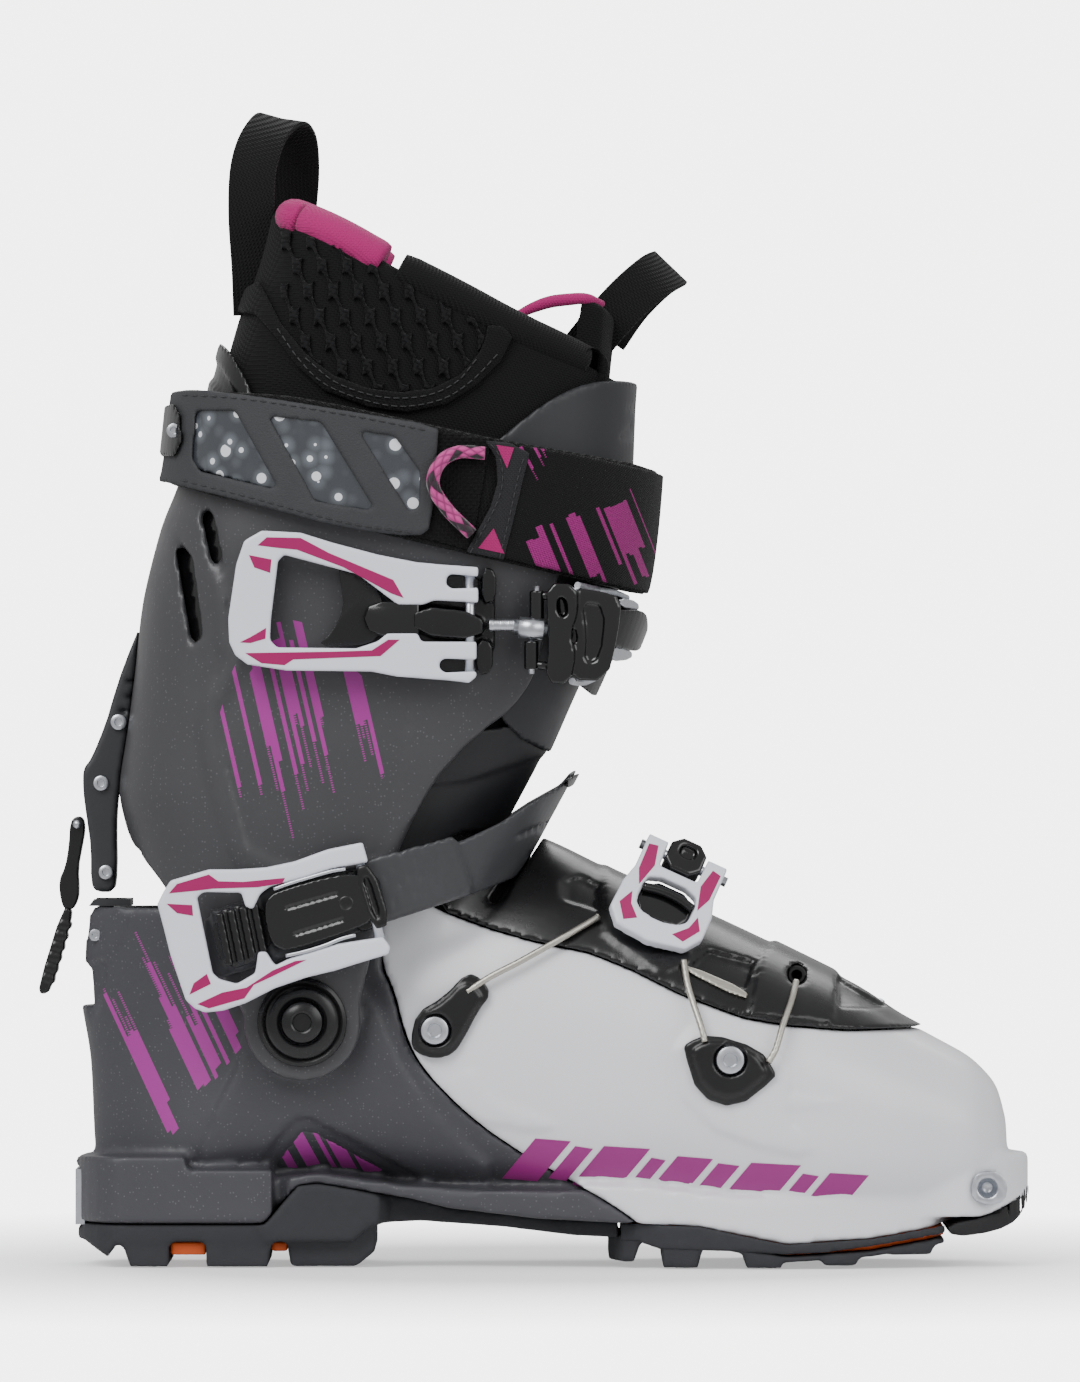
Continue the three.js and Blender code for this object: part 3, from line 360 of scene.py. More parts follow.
def band(form, outer, inner, name="band"):
    return carve(body(form, outer, name), ("cut", body(form, inner)))


def sideAt(form, x, z, outset=0):
    # how far the form's side is from the middle at a point of the side view
    best = 0
    rings = form["dense"]
    for (one, halfOne, _), (two, halfTwo, _) in zip(rings, rings[1:]):
        def past(flat):
            return (flat[0] - flat[2]) * (z - flat[3]) - (flat[1] - flat[3]) * (x - flat[2])

        first, second = past(one), past(two)
        if first * second > 0:
            continue
        share = first / (first - second) if first != second else 0
        flat = one.lerp(two, share)
        half = halfOne + (halfTwo - halfOne) * share
        centre = Vector(((flat[0] + flat[2]) / 2, (flat[1] + flat[3]) / 2))
        reach = math.hypot(flat[0] - flat[2], flat[1] - flat[3]) / 2 + outset
        gone = min(math.hypot(x - centre[0], z - centre[1]) / reach, 1)
        best = max(best, (half + outset) * (1 - gone ** form["squareness"]) ** (1 / form["squareness"]))
    return best


def onOuter(form, x, z, lift=0):
    return spot(x, -sideAt(form, x, z, lift), z)


print("stage: forms ready")

# materials: shared effects are groups, each finish is a small tree of its own


def plug(tree, value, socket):
    if isinstance(value, bpy.types.NodeSocket):
        tree.links.new(value, socket)
    else:
        socket.default_value = value


def put(tree, kind, settings=None, **sockets):
    made = tree.nodes.new("ShaderNode" + kind)
    for key, value in (settings or {}).items():
        setattr(made, key, value)
    for key, value in sockets.items():
        plug(tree, value, made.inputs[key.replace("_", " ")])
    return made


def maths(tree, operation, *values):
    made = tree.nodes.new("ShaderNodeMath")
    made.operation = operation
    for value, socket in zip(values, made.inputs):
        plug(tree, value, socket)
    return made.outputs[0]


def spread(tree, value, low, high, newLow=0.0, newHigh=1.0):
    # a value moved from one range to another, held at its ends
    made = put(tree, "MapRange", None, Value=value)
    for name, setting in (("From Min", low), ("From Max", high), ("To Min", newLow), ("To Max", newHigh)):
        plug(tree, setting, made.inputs[name])
    return made.outputs[0]


def blended(tree, share, one, other, blend="MIX"):
    made = tree.nodes.new("ShaderNodeMix")
    made.data_type = "RGBA"
    made.blend_type = blend
    plug(tree, share, made.inputs[0])
    plug(tree, one, made.inputs[6])
    plug(tree, other, made.inputs[7])
    return made.outputs[2]


def group(name, inputs, outputs):
    tree = bpy.data.node_groups.new(name, "ShaderNodeTree")
    for label, value in inputs.items():
        kind = "NodeSocketVector" if value == "vector" else "NodeSocketFloat"
        socket = tree.interface.new_socket(label, in_out="INPUT", socket_type=kind)
        if value != "vector":
            socket.default_value = value
    for label in outputs:
        tree.interface.new_socket(label, in_out="OUTPUT", socket_type="NodeSocketFloat")
    return tree, tree.nodes.new("NodeGroupInput").outputs, tree.nodes.new("NodeGroupOutput").inputs


def placed(tree, made, **sockets):
    used = tree.nodes.new("ShaderNodeGroup")
    used.node_tree = made
    for key, value in sockets.items():
        plug(tree, value, used.inputs[key])
    return used.outputs


def noise(tree, vector, scale, detail=2.0, rough=0.5, dimensions="3D"):
    made = put(tree, "TexNoise", {"noise_dimensions": dimensions}, Scale=scale, Detail=detail,
        Roughness=rough)
    plug(tree, vector, made.inputs["Vector" if dimensions != "1D" else "W"])
    return made.outputs["Fac"]


def mouldingGroup():
    # moulded plastic: a fine grain, a slow swell and a slow change of tone
    tree, given, result = group("moulding", {"Vector": "vector", "Grain": 1800.0, "Depth": 0.4},
        ["Height", "Tone"])
    fine = noise(tree, given["Vector"], given["Grain"], 2)
    swell = noise(tree, given["Vector"], 55, 1)
    plug(tree, maths(tree, "ADD", maths(tree, "MULTIPLY", fine, given["Depth"]), swell), result["Height"])
    plug(tree, noise(tree, given["Vector"], 22, 5, 0.6), result["Tone"])
    return tree


def rubsGroup():
    # thin scuffs in two directions, and dull patches
    tree, given, result = group("rubs", {"Vector": "vector", "Reach": 0.6}, ["Mask", "Dull"])
    lines = None
    for turn, stretch in ((0.5, (900, 60, 60)), (-0.9, (60, 60, 1100))):
        mapped = put(tree, "Mapping", None, Vector=given["Vector"], Rotation=(0, turn, 0), Scale=stretch)
        line = noise(tree, mapped.outputs[0], 1.0, 3, 0.6)
        thin = spread(tree, line, maths(tree, "ADD", given["Reach"], 0.08),
            maths(tree, "ADD", given["Reach"], 0.14))
        lines = thin if lines is None else maths(tree, "MAXIMUM", lines, thin)
    patch = noise(tree, given["Vector"], 45, 4, 0.65)
    plug(tree, maths(tree, "MULTIPLY", lines, spread(tree, patch, 0.5, 0.65)), result["Mask"])
    plug(tree, spread(tree, patch, 0.4, 0.75), result["Dull"])
    return tree


def fleckGroup():
    # tiny pale specks scattered in the plastic
    tree, given, result = group("flecks", {"Vector": "vector", "Count": 900.0, "Size": 0.2, "Share": 0.7},
        ["Mask"])
    cells = put(tree, "TexVoronoi", None, Vector=given["Vector"], Scale=given["Count"], Randomness=1.0)
    near = maths(tree, "LESS_THAN", cells.outputs["Distance"], given["Size"])
    pick = put(tree, "SeparateColor", None, Color=cells.outputs["Color"]).outputs[0]
    plug(tree, maths(tree, "MULTIPLY", near, maths(tree, "GREATER_THAN", pick, given["Share"])),
        result["Mask"])
    return tree


def weaveGroup():
    # over and under threads; the tone follows the thread height, so the grooves between threads get painted
    # shade, broken by fine specks
    tree, given, result = group("weave", {"Vector": "vector", "Thread": 0.0006, "Turn": 0.0},
        ["Height", "Tone"])
    apart = put(tree, "SeparateXYZ", None, Vector=given["Vector"]).outputs
    flat = put(tree, "CombineXYZ", None, X=maths(tree, "ADD", apart[0], apart[1]), Y=apart[2])
    turnedNode = put(tree, "VectorRotate", {"rotation_type": "Z_AXIS"}, Vector=flat.outputs[0],
        Angle=given["Turn"])
    own = put(tree, "SeparateXYZ", None, Vector=turnedNode.outputs[0]).outputs
    across = maths(tree, "DIVIDE", own[0], given["Thread"])
    down = maths(tree, "DIVIDE", own[1], given["Thread"])
    ridge = [maths(tree, "ABSOLUTE", maths(tree, "SINE",
        maths(tree, "MULTIPLY", way, math.pi))) for way in (across, down)]
    odd = maths(tree, "MODULO", maths(tree, "ADD", maths(tree, "FLOOR", across),
        maths(tree, "FLOOR", down)), 2.0)
    odd = maths(tree, "ABSOLUTE", odd)
    even = maths(tree, "SUBTRACT", 1.0, odd)
    height = maths(tree, "ADD", maths(tree, "MULTIPLY", ridge[0], odd),
        maths(tree, "MULTIPLY", ridge[1], even))
    plug(tree, height, result["Height"])
    speck = noise(tree, given["Vector"], 2600, 1)
    # painted shade: the tone is darker where the threads dip and lighter on their crowns
    plug(tree, maths(tree, "MULTIPLY", maths(tree, "ADD", height, speck), 0.5), result["Tone"])
    return tree


def streakGroup():
    # slanted bars of random length with dotted tails, printed in the side view
    settings = {
        "Vector": "vector", "Slant": 1.34, "Left": 0.0, "Low": 0.0, "Span": 0.04, "Column": 0.0012,
        "Start": 0.0,
        "Lean": 0.0, "Bend": 0.0, "End": 0.03, "Uneven": 0.015, "Tail": 0.01, "Share": 0.5, "Seed": 0.0,
    }
    tree, given, result = group("streaks", settings, ["Mask"])
    apart = put(tree, "SeparateXYZ", None, Vector=given["Vector"]).outputs
    x = maths(tree, "SUBTRACT", apart[0], given["Left"])
    z = maths(tree, "SUBTRACT", apart[2], given["Low"])
    sine, cosine = maths(tree, "SINE", given["Slant"]), maths(tree, "COSINE", given["Slant"])
    across = maths(tree, "ADD", maths(tree, "MULTIPLY", x, sine), maths(tree, "MULTIPLY", z, cosine))
    down = maths(tree, "SUBTRACT", maths(tree, "MULTIPLY", x, cosine), maths(tree, "MULTIPLY", z, sine))
    column = maths(tree, "FLOOR", maths(tree, "DIVIDE", across, given["Column"]))
    inColumn = maths(tree, "FRACT", maths(tree, "DIVIDE", across, given["Column"]))

    def chance(shift, source):
        seeded = maths(tree, "ADD", maths(tree, "ADD", source, given["Seed"]), shift)
        return put(tree, "TexWhiteNoise", {"noise_dimensions": "1D"}, W=seeded).outputs["Value"]

    paired = maths(tree, "FLOOR", maths(tree, "DIVIDE", column, 2.0))
    on = maths(tree, "LESS_THAN", chance(0.5, column), given["Share"])
    share = maths(tree, "DIVIDE", across, given["Span"])
    inside = maths(tree, "MULTIPLY", maths(tree, "GREATER_THAN", share, 0.0),
        maths(tree, "LESS_THAN", share, 1.0))
    centred = maths(tree, "SUBTRACT", maths(tree, "MULTIPLY", share, 2.0), 1.0)
    start = maths(tree, "ADD", given["Start"], maths(tree, "MULTIPLY", across, given["Lean"]))
    start = maths(tree, "ADD", start, maths(tree, "MULTIPLY", given["Bend"],
        maths(tree, "MULTIPLY", centred, centred)))
    ragged = maths(tree, "MULTIPLY", maths(tree, "SUBTRACT", chance(31.5, paired), 0.5),
        maths(tree, "MULTIPLY", given["Uneven"], 0.4))
    start = maths(tree, "ADD", start, ragged)
    end = maths(tree, "ADD", given["End"], maths(tree, "MULTIPLY",
        maths(tree, "SUBTRACT", chance(77.5, column), 0.5), given["Uneven"]))
    begun = maths(tree, "GREATER_THAN", down, start)
    solid = maths(tree, "MULTIPLY", begun, maths(tree, "LESS_THAN", down, end))
    tailEnd = maths(tree, "ADD", end, maths(tree, "MULTIPLY", given["Tail"], chance(113.5, column)))
    beyond = maths(tree, "MULTIPLY", maths(tree, "GREATER_THAN", down, end),
        maths(tree, "LESS_THAN", down, tailEnd))
    dotted = maths(tree, "GREATER_THAN", maths(tree, "FRACT", maths(tree, "DIVIDE", down, 0.0007)), 0.5)
    thin = maths(tree, "LESS_THAN", inColumn, 0.55)
    tail = maths(tree, "MULTIPLY", maths(tree, "MULTIPLY", beyond, dotted), thin)
    mask = maths(tree, "MULTIPLY", maths(tree, "MAXIMUM", solid, tail), maths(tree, "MULTIPLY", on, inside))
    plug(tree, mask, result["Mask"])
    return tree


moulding, rubs, flecks, weave, streaks = mouldingGroup(), rubsGroup(), fleckGroup(), weaveGroup(), streakGroup()


def tint(red, green, blue):
    # screen colour to linear
    def linear(value):
        value /= 255
        return value / 12.92 if value <= 0.04045 else ((value + 0.055) / 1.055) ** 2.4

    return (linear(red), linear(green), linear(blue), 1.0)


def started(name):
    material = bpy.data.materials.new(name)
    material.use_nodes = True
    tree = material.node_tree
    return material, tree, tree.nodes["Principled BSDF"], put(tree, "TexCoord").outputs["Object"]


def shaded(colour, amount):
    return (*(min(1.0, part * amount) for part in colour[:3]), 1.0)


def bumped(tree, shader, height, depth, strength=1.0):
    made = put(tree, "Bump", None, Height=height, Distance=depth, Strength=strength)
    plug(tree, made.outputs[0], shader.inputs["Normal"])


def plastic(name, colour, roughness, grain=1800, depth=0.4, bump=0.00006, vary=0.12, worn=0.7, coat=0.0,
    specks=None, prints=(), ink=None):
    material, tree, shader, objectSpace = started(name)
    skin = placed(tree, moulding, Vector=objectSpace, Grain=grain, Depth=depth)
    scuffs = placed(tree, rubs, Vector=objectSpace, Reach=worn)
    base = blended(tree, skin["Tone"], shaded(colour, 1 - vary), shaded(colour, 1 + vary))
    if specks:
        spots = placed(tree, flecks, Vector=objectSpace, Count=specks["count"], Size=specks["size"],
            Share=specks["share"])
        base = blended(tree, maths(tree, "MULTIPLY", spots["Mask"], specks["strength"]), base,
            specks["colour"])
    for marks in prints:
        mask = placed(tree, streaks, Vector=objectSpace, **marks)["Mask"]
        base = blended(tree, mask, base, ink)
    base = blended(tree, maths(tree, "MULTIPLY", scuffs["Mask"], 0.25), base, shaded(colour, 1.7))
    plug(tree, base, shader.inputs["Base Color"])
    rough = maths(tree, "ADD", roughness - 0.05, maths(tree, "MULTIPLY", scuffs["Dull"], 0.12))
    plug(tree, maths(tree, "ADD", rough, maths(tree, "MULTIPLY", scuffs["Mask"], 0.15)),
        shader.inputs["Roughness"])
    shader.inputs["Coat Weight"].default_value = coat
    shader.inputs["Coat Roughness"].default_value = 0.12
    bumped(tree, shader, skin["Height"], bump)
    return material


def fabric(name, colour, thread=0.0007, turn=0.0, bump=0.00025, vary=0.3, sheen=0.3, fuzz=0.0, prints=(),
    ink=None):
    material, tree, shader, objectSpace = started(name)
    cloth = placed(tree, weave, Vector=objectSpace, Thread=thread, Turn=turn)
    slow = noise(tree, objectSpace, 60, 4, 0.6)
    # painted shade and highlight: lit and shaded copies of the colour follow the weave tone, darker in the
    # grooves between threads
    base = blended(tree, cloth["Tone"], shaded(colour, 1 - vary), shaded(colour, 1 + vary * 1.6))
    base = blended(tree, spread(tree, slow, 0.35, 0.7, 0, 0.35), base, shaded(colour, 1 + vary))
    for marks in prints:
        mask = placed(tree, streaks, Vector=objectSpace, **marks)["Mask"]
        # the printed ink gets the same painted shade from the weave tone
        base = blended(tree, mask, base, blended(tree, cloth["Tone"], shaded(ink, 0.75), shaded(ink, 1.15)))
    plug(tree, base, shader.inputs["Base Color"])
    plug(tree, spread(tree, cloth["Tone"], 0, 1, 0.75, 0.95), shader.inputs["Roughness"])
    shader.inputs["Sheen Weight"].default_value = sheen * 0.25
    shader.inputs["Specular IOR Level"].default_value = 0.2
    shader.inputs["Sheen Roughness"].default_value = 0.5
    height = cloth["Height"]
    if fuzz:
        height = maths(tree, "ADD", height, maths(tree, "MULTIPLY", noise(tree, objectSpace, 1500, 4, 0.75),
            fuzz))
    bumped(tree, shader, height, bump)
    return material


def metal(name, colour, roughness, brushed=1400):
    material, tree, shader, objectSpace = started(name)
    mapped = put(tree, "Mapping", None, Vector=objectSpace, Scale=(1, 12, 1))
    lines = noise(tree, mapped.outputs[0], brushed / 4, 4, 0.6)
    plug(tree, blended(tree, lines, shaded(colour, 0.82), shaded(colour, 1.08)),
        shader.inputs["Base Color"])
    plug(tree, spread(tree, lines, 0.2, 0.8, roughness - 0.08, roughness + 0.12),
        shader.inputs["Roughness"])
    shader.inputs["Metallic"].default_value = 1.0
    bumped(tree, shader, lines, 0.00002)
    return material


ink = tint(160, 46, 142)
cuffMarks = {
    "Slant": 1.344, "Left": (46.2 - 138.5) / 1000, "Low": 0.1600, "Span": 0.046, "Column": 0.00125,
    "Start": -0.0265,
    "Bend": 0.022, "End": 0.0125, "Uneven": 0.030, "Tail": 0.016, "Share": 0.52, "Seed": 3.0,
}
heelMarks = {
    "Slant": 1.128 + math.pi, "Left": (51.5 - 138.5) / 1000, "Low": 0.0700, "Span": 0.034,
    "Column": 0.00125,
    "Start": -0.0005, "Lean": -0.42, "Bend": 0.0, "End": 0.020, "Uneven": 0.026, "Tail": 0.018,
    "Share": 0.55,
    "Seed": 11.0,
}
panelMarks = {
    "Slant": 1.09, "Left": (52 - 138.5) / 1000, "Low": 0.045, "Span": 0.08, "Column": 0.0013, "Start": -0.2,
    "End": 0.2, "Uneven": 0.0, "Tail": 0.0, "Share": 0.56, "Seed": 5.0,
}
strapMarks = [
    {
        "Slant": 1.18, "Left": (139 - 138.5) / 1000, "Low": 0.2105, "Span": 0.035, "Column": 0.00105,
        "Start": -0.0085,
        "End": 0.012, "Uneven": 0.010, "Tail": 0.0, "Share": 0.6, "Seed": 21.0,
    },
    {
        "Slant": 1.08, "Left": (132 - 138.5) / 1000, "Low": 0.2400, "Span": 0.05, "Column": 0.0009,
        "Start": -0.006,
        "End": 0.0, "Uneven": 0.014, "Tail": 0.004, "Share": 0.2, "Seed": 8.0,
    },
]
paleSpeck = {"count": 1100, "size": 0.28, "share": 0.78, "strength": 0.2, "colour": tint(140, 140, 144)}

finishes = {
    "white": plastic("whiteShell", tint(232, 233, 237), 0.34, vary=0.025, bump=0.00003, coat=0.15,
                     specks={"count": 1500, "size": 0.2, "share": 0.8, "strength": 0.12,
                         "colour": tint(170, 172, 180)}),
    "leverWhite": plastic("leverWhite", tint(231, 233, 243), 0.36, vary=0.02, bump=0.00003, coat=0.1),
    "magenta": plastic("leverMagenta", tint(156, 8, 90), 0.4, vary=0.06, bump=0.00003),
    "ink": plastic("printInk", tint(152, 34, 124), 0.42, vary=0.05, bump=0.00002),
    "cuff": plastic("cuffGrey", tint(64, 64, 67), 0.42, vary=0.07, specks=paleSpeck, prints=[cuffMarks],
        ink=ink),
    "frame": plastic("frameGraphite", tint(62, 62, 67), 0.5, vary=0.1, bump=0.00009, specks=paleSpeck,
                     prints=[heelMarks], ink=ink),
    "framePanel": plastic("framePanel", tint(56, 57, 61), 0.5, vary=0.1, bump=0.00009, specks=paleSpeck,
                          prints=[panelMarks], ink=ink),
    "graphite": plastic("graphite", tint(46, 47, 50), 0.45, vary=0.08),
    "tongue": plastic("tongueDark", tint(36, 37, 41), 0.5, vary=0.07),
    "strapGrey": plastic("strapGrey", tint(58, 59, 62), 0.4, vary=0.08),
    "black": plastic("satinBlack", tint(15, 15, 17), 0.3, vary=0.1, bump=0.00004),
    "gloss": plastic("glossBlack", tint(12, 12, 14), 0.16, vary=0.08, bump=0.00002, coat=0.3),
    "rubber": plastic("soleRubber", tint(40, 41, 45), 0.78, grain=2600, depth=0.8, bump=0.00012, vary=0.12,
        worn=0.66),
    "toeRubber": plastic("toeRubber", tint(24, 24, 26), 0.8, grain=2600, depth=0.8, bump=0.00012,
        vary=0.12),
    "orange": plastic("soleOrange", tint(196, 78, 16), 0.6, vary=0.1),
    "shield": plastic("shieldRubber", tint(52, 53, 56), 0.75, grain=2200, depth=1.2, bump=0.00016,
        vary=0.14),
    "bellows": plastic("bellowsRubber", tint(24, 25, 28), 0.55, vary=0.1, bump=0.00006),
    "webbing": fabric("blackWebbing", tint(14, 14, 15), thread=0.0008, turn=0.6, bump=0.0003),
    "printed": fabric("printedWebbing", tint(12, 12, 13), thread=0.0006, turn=0.25, bump=0.0002,
        prints=strapMarks,
                      ink=tint(158, 40, 122)),
    "fleece": fabric("hookAndLoop", tint(9, 9, 10), thread=0.0011, bump=0.0008, vary=0.6, fuzz=2.0,
        sheen=0.15),
    "liner": fabric("linerCloth", tint(13, 13, 14), thread=0.0007, turn=0.2, bump=0.00018, vary=0.35,
        sheen=0.2),
    "knit": fabric("linerKnit", tint(14, 14, 16), thread=0.0013, turn=0.5, bump=0.0005, vary=0.5,
        sheen=0.2),
    "collarPink": fabric("collarPink", tint(166, 34, 104), thread=0.0005, bump=0.0001, vary=0.1, sheen=0.6),
    "patch": fabric("greyPatch", tint(40, 40, 43), thread=0.0006, bump=0.00015, vary=0.2),
    "thread": fabric("stitchThread", tint(60, 60, 62), thread=0.0003, bump=0.0001, vary=0.2),
    "steel": metal("steel", tint(205, 208, 214), 0.3),
    "darkSteel": metal("darkSteel", tint(60, 61, 64), 0.35),
    "cable": metal("cableSteel", tint(196, 192, 182), 0.42),
}
print("stage: finishes ready")


def paneMaterial():
    # dark translucent window with pale dots under a clear face, and a painted glow that lightens the pane round
    # each dot
    material, tree, shader, objectSpace = started("dottedPane")
    cells = put(tree, "TexVoronoi", None, Vector=objectSpace, Scale=175, Randomness=0.85)
    pick = put(tree, "SeparateColor", None, Color=cells.outputs["Color"]).outputs[0]
    size = spread(tree, pick, 0, 1, 0.12, 0.34)
    dot = maths(tree, "LESS_THAN", cells.outputs["Distance"], size)
    # painted glow: the pane is lighter close to each dot and darker between the dots
    paintedDotGlow = spread(tree, cells.outputs["Distance"], 0.1, 0.6)
    base = blended(tree, paintedDotGlow, tint(104, 110, 118), tint(58, 61, 66))
    plug(tree, blended(tree, dot, base, tint(228, 230, 234)), shader.inputs["Base Color"])
    plug(tree, spread(tree, noise(tree, objectSpace, 300, 3), 0.3, 0.7, 0.2, 0.38),
        shader.inputs["Roughness"])
    shader.inputs["Coat Weight"].default_value = 0.5
    shader.inputs["Coat Roughness"].default_value = 0.08
    bumped(tree, shader, dot, 0.0001)
    return material


def braidMaterial():
    # crossing strands in two colours, from the angle and the length kept on the cord, with painted shade in the
    # grooves between them
    material, tree, shader, objectSpace = started("braidedCord")
    lay = put(tree, "Attribute", {"attribute_name": "lay"}).outputs["Vector"]
    parts = put(tree, "SeparateXYZ", None, Vector=lay).outputs
    angle = maths(tree, "DIVIDE", maths(tree, "ARCTAN2", parts[1], parts[0]), 2 * math.pi)
    gone = maths(tree, "MULTIPLY", parts[2], 230)
    one = maths(tree, "ADD", maths(tree, "MULTIPLY", angle, 5), gone)
    two = maths(tree, "SUBTRACT", maths(tree, "MULTIPLY", angle, 5), gone)
    ridge = maths(tree, "MULTIPLY", *[maths(tree, "ABSOLUTE",
        maths(tree, "SINE", maths(tree, "MULTIPLY", way, math.pi))) for way in (one, two)])
    cell = maths(tree, "ADD", maths(tree, "FLOOR", one),
        maths(tree, "MULTIPLY", maths(tree, "FLOOR", two), 7.3))
    chance = put(tree, "TexWhiteNoise", {"noise_dimensions": "1D"}, W=cell).outputs["Value"]
    dark = maths(tree, "GREATER_THAN", chance, 0.64)
    base = blended(tree, dark, tint(198, 62, 142), tint(36, 26, 34))
    # painted shade: the grooves between the strands are darkened towards a deep plum
    base = blended(tree, spread(tree, ridge, 0, 0.5, 0.6, 0), base, tint(70, 20, 52))
    plug(tree, base, shader.inputs["Base Color"])
    plug(tree, spread(tree, ridge, 0, 1, 0.9, 0.7), shader.inputs["Roughness"])
    shader.inputs["Sheen Weight"].default_value = 0.3
    bumped(tree, shader, ridge, 0.0004)
    return material


finishes["pane"] = paneMaterial()
finishes["braid"] = braidMaterial()


def settle(made, body, finish, slotName, *stands):
    made.data.materials.clear()
    made.data.materials.append(finishes[finish])
    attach(made, body)
    if stands:
        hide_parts(*stands)
    return made


# lower shell

whiteEdge = smoothed([
    (92, 92), (96.8, 82.9), (99.8, 70.5), (104.1, 61.1), (112.5, 51.7), (122.8, 42.4), (133.4, 35.1),
    (140.4, 30.9),
    (169.4, 14.8), (180, 2), (180, -40), (320, -40), (320, 150), (92, 150),
])
flapLine = [
    (98, 113), (112, 106), (125.8, 101), (138.5, 97.4), (154.9, 94.1), (167.3, 89.2), (182.4, 81.7),
    (201.2, 74.7),
    (215.1, 72.3), (232.6, 70.8), (252, 71), (320, 71),
]
shellTop = 107.5
belowFlap = [(-20, -60), (320, -60), *reversed(flapLine), (60, 112), (30, shellTop), (-20, shellTop)]
soleLine = [
    (57, 12.5), (67.8, 24.6), (73.8, 25.2), (101.9, 20.4), (112.8, 17.6), (140.1, 14.4), (165, 13.2),
    (188, 12.4),
    (205, 8.8), (214, 7), (240, 8.6), (262, 12.4), (275, 15.4), (284, 19.4), (320, 19.4), (320, -60),
    (57, -60),
]
shell = {"wall": 4.5, "voxel": 1.25, "ledgeTop": 31, "ledgeLow": 14.9, "ledgeHalf": 33, "round": 24}


def roundEnd(back, front, half, reach, steps=16):
    # a floor outline with a rounded front or rear
    turns = [-math.pi / 2 + math.pi * i / steps for i in range(steps + 1)]
    return [(back, half), (back, -half)] + [
        (front - reach + reach * math.cos(a), half * math.sin(a)) for a in turns
    ]


def pocketed(made, x, z, radius, near, far, count=32):
    centre = spot(x, near, z)
    bar = skinRings("bar", [circleAt(c, Vector((1, 0, 0)), Vector((0, 0, 1)), radius / 1000,
        count) for c in (centre, spot(x, far, z))])
    return carve(made, ("cut", bar))


skirtPlan = [
    (57, 33), (90, 34), (120, 35), (150, 36.5), (172, 39), (200, 43), (225, 41.6), (248, 35.4), (262, 29),
]
skirtPlan = smoothed([(x, -y) for x, y in skirtPlan] + [(x, y) for x, y in reversed(skirtPlan)], 1)


def skirt(top):
    low = [p for p in soleLine if p[1] > 0 and p[0] < 270]
    return carve(slab(skirtPlan, 0, 40), ("keep", prism([*low, *reversed(top)])))


toeShell = carve(
    body(foot, 0, "toeShellSkin"),
    ("keep", prism(belowFlap)),
    ("add", skirt([(120, 26), (150, 25), (175, 24), (200, 21), (225, 20), (245, 21), (262, 24)])),
    ("add", carve(
        slab(roundEnd(236, 288, shell["ledgeHalf"], shell["round"]), shell["ledgeLow"], shell["ledgeTop"]),
        ("keep", prism([(240, 12), (245, 19.5), (257.5, 30), (281, 30.6), (283, 34), (300, 34), (300, 0),
            (240, 0)])),
    )),
    ("add", carve(slab(roundEnd(270, 288, 31, 22), 28, 33.6), ("cut", body(foot, -1)))),
    # raised surround of the front anchor and the two pressed chevrons
    ("add", carve(
        band(foot, 1.1, -1),
        ("keep", prism(smoothed([(180, 72), (184.5, 45), (216, 33.5), (222, 36), (212, 46), (216, 58),
            (208, 70)], 1))),
    )),
    ("add", carve(
        band(foot, 0.8, -1), ("keep", prism([(201, 41), (214, 51.6), (229, 49.4), (214, 48.2), (206, 41.8),
            (222, 36), (219, 34.5)])),
    )),
    ("add", carve(
        band(foot, 0.9, -1), ("keep", prism(smoothed([(112, 54), (118, 45), (138, 41), (146, 43), (124, 50),
            (121, 60)], 1))),
    )),
    ("cut", body(foot, -shell["wall"])),
    ("keep", prism(whiteEdge)),
    ("cut", prism(soleLine)),
)
pocketed(toeShell, 274.7, 23.6, 4.6, -40, 40)
mould(toeShell, shell["voxel"], 4)
settle(toeShell, "shell", "white", "white_plastic", "toe_shell")

pivot = (69.3, 73.7)
darkEdge = [(x - 0.6, z) for x, z in whiteEdge]
rearEdge = [(-60, -60), (179, -60), *[p for p in reversed(darkEdge) if p[0] < 179 and p[1] < 92],
    (91.4, 150), (-60, 150)]
yPlate = smoothed([
    (52.6, 66), (38.4, 36.3), (39.3, 29.3), (44.5, 22), (50, 22), (55.4, 31), (67.5, 46.5), (74, 43.5),
    (113.5, 21.8),
    (129, 26.5), (111.6, 42), (102, 53.5), (95.2, 65.6), (89, 82), (70, 94), (54, 84),
], 1)
vPanel = [(53, 21), (68.5, 41.3), (73.6, 40.6), (104, 22.4), (101, 19), (70, 24), (62, 18), (55, 18)]
heelBlock = slab([(34, 33), *[(16 - 16 * math.cos(a), 33 * math.sin(a)) for a in
                 [math.pi / 2 - math.pi * i / 16 for i in range(17)]], (34, -33)], 12.9, 33.6)
heelBlock = carve(heelBlock, ("cut", prism([(-5, 31.5), (6, 33.0), (30, 33.0), (34, 33.2), (34, 40),
    (-5, 40)])))
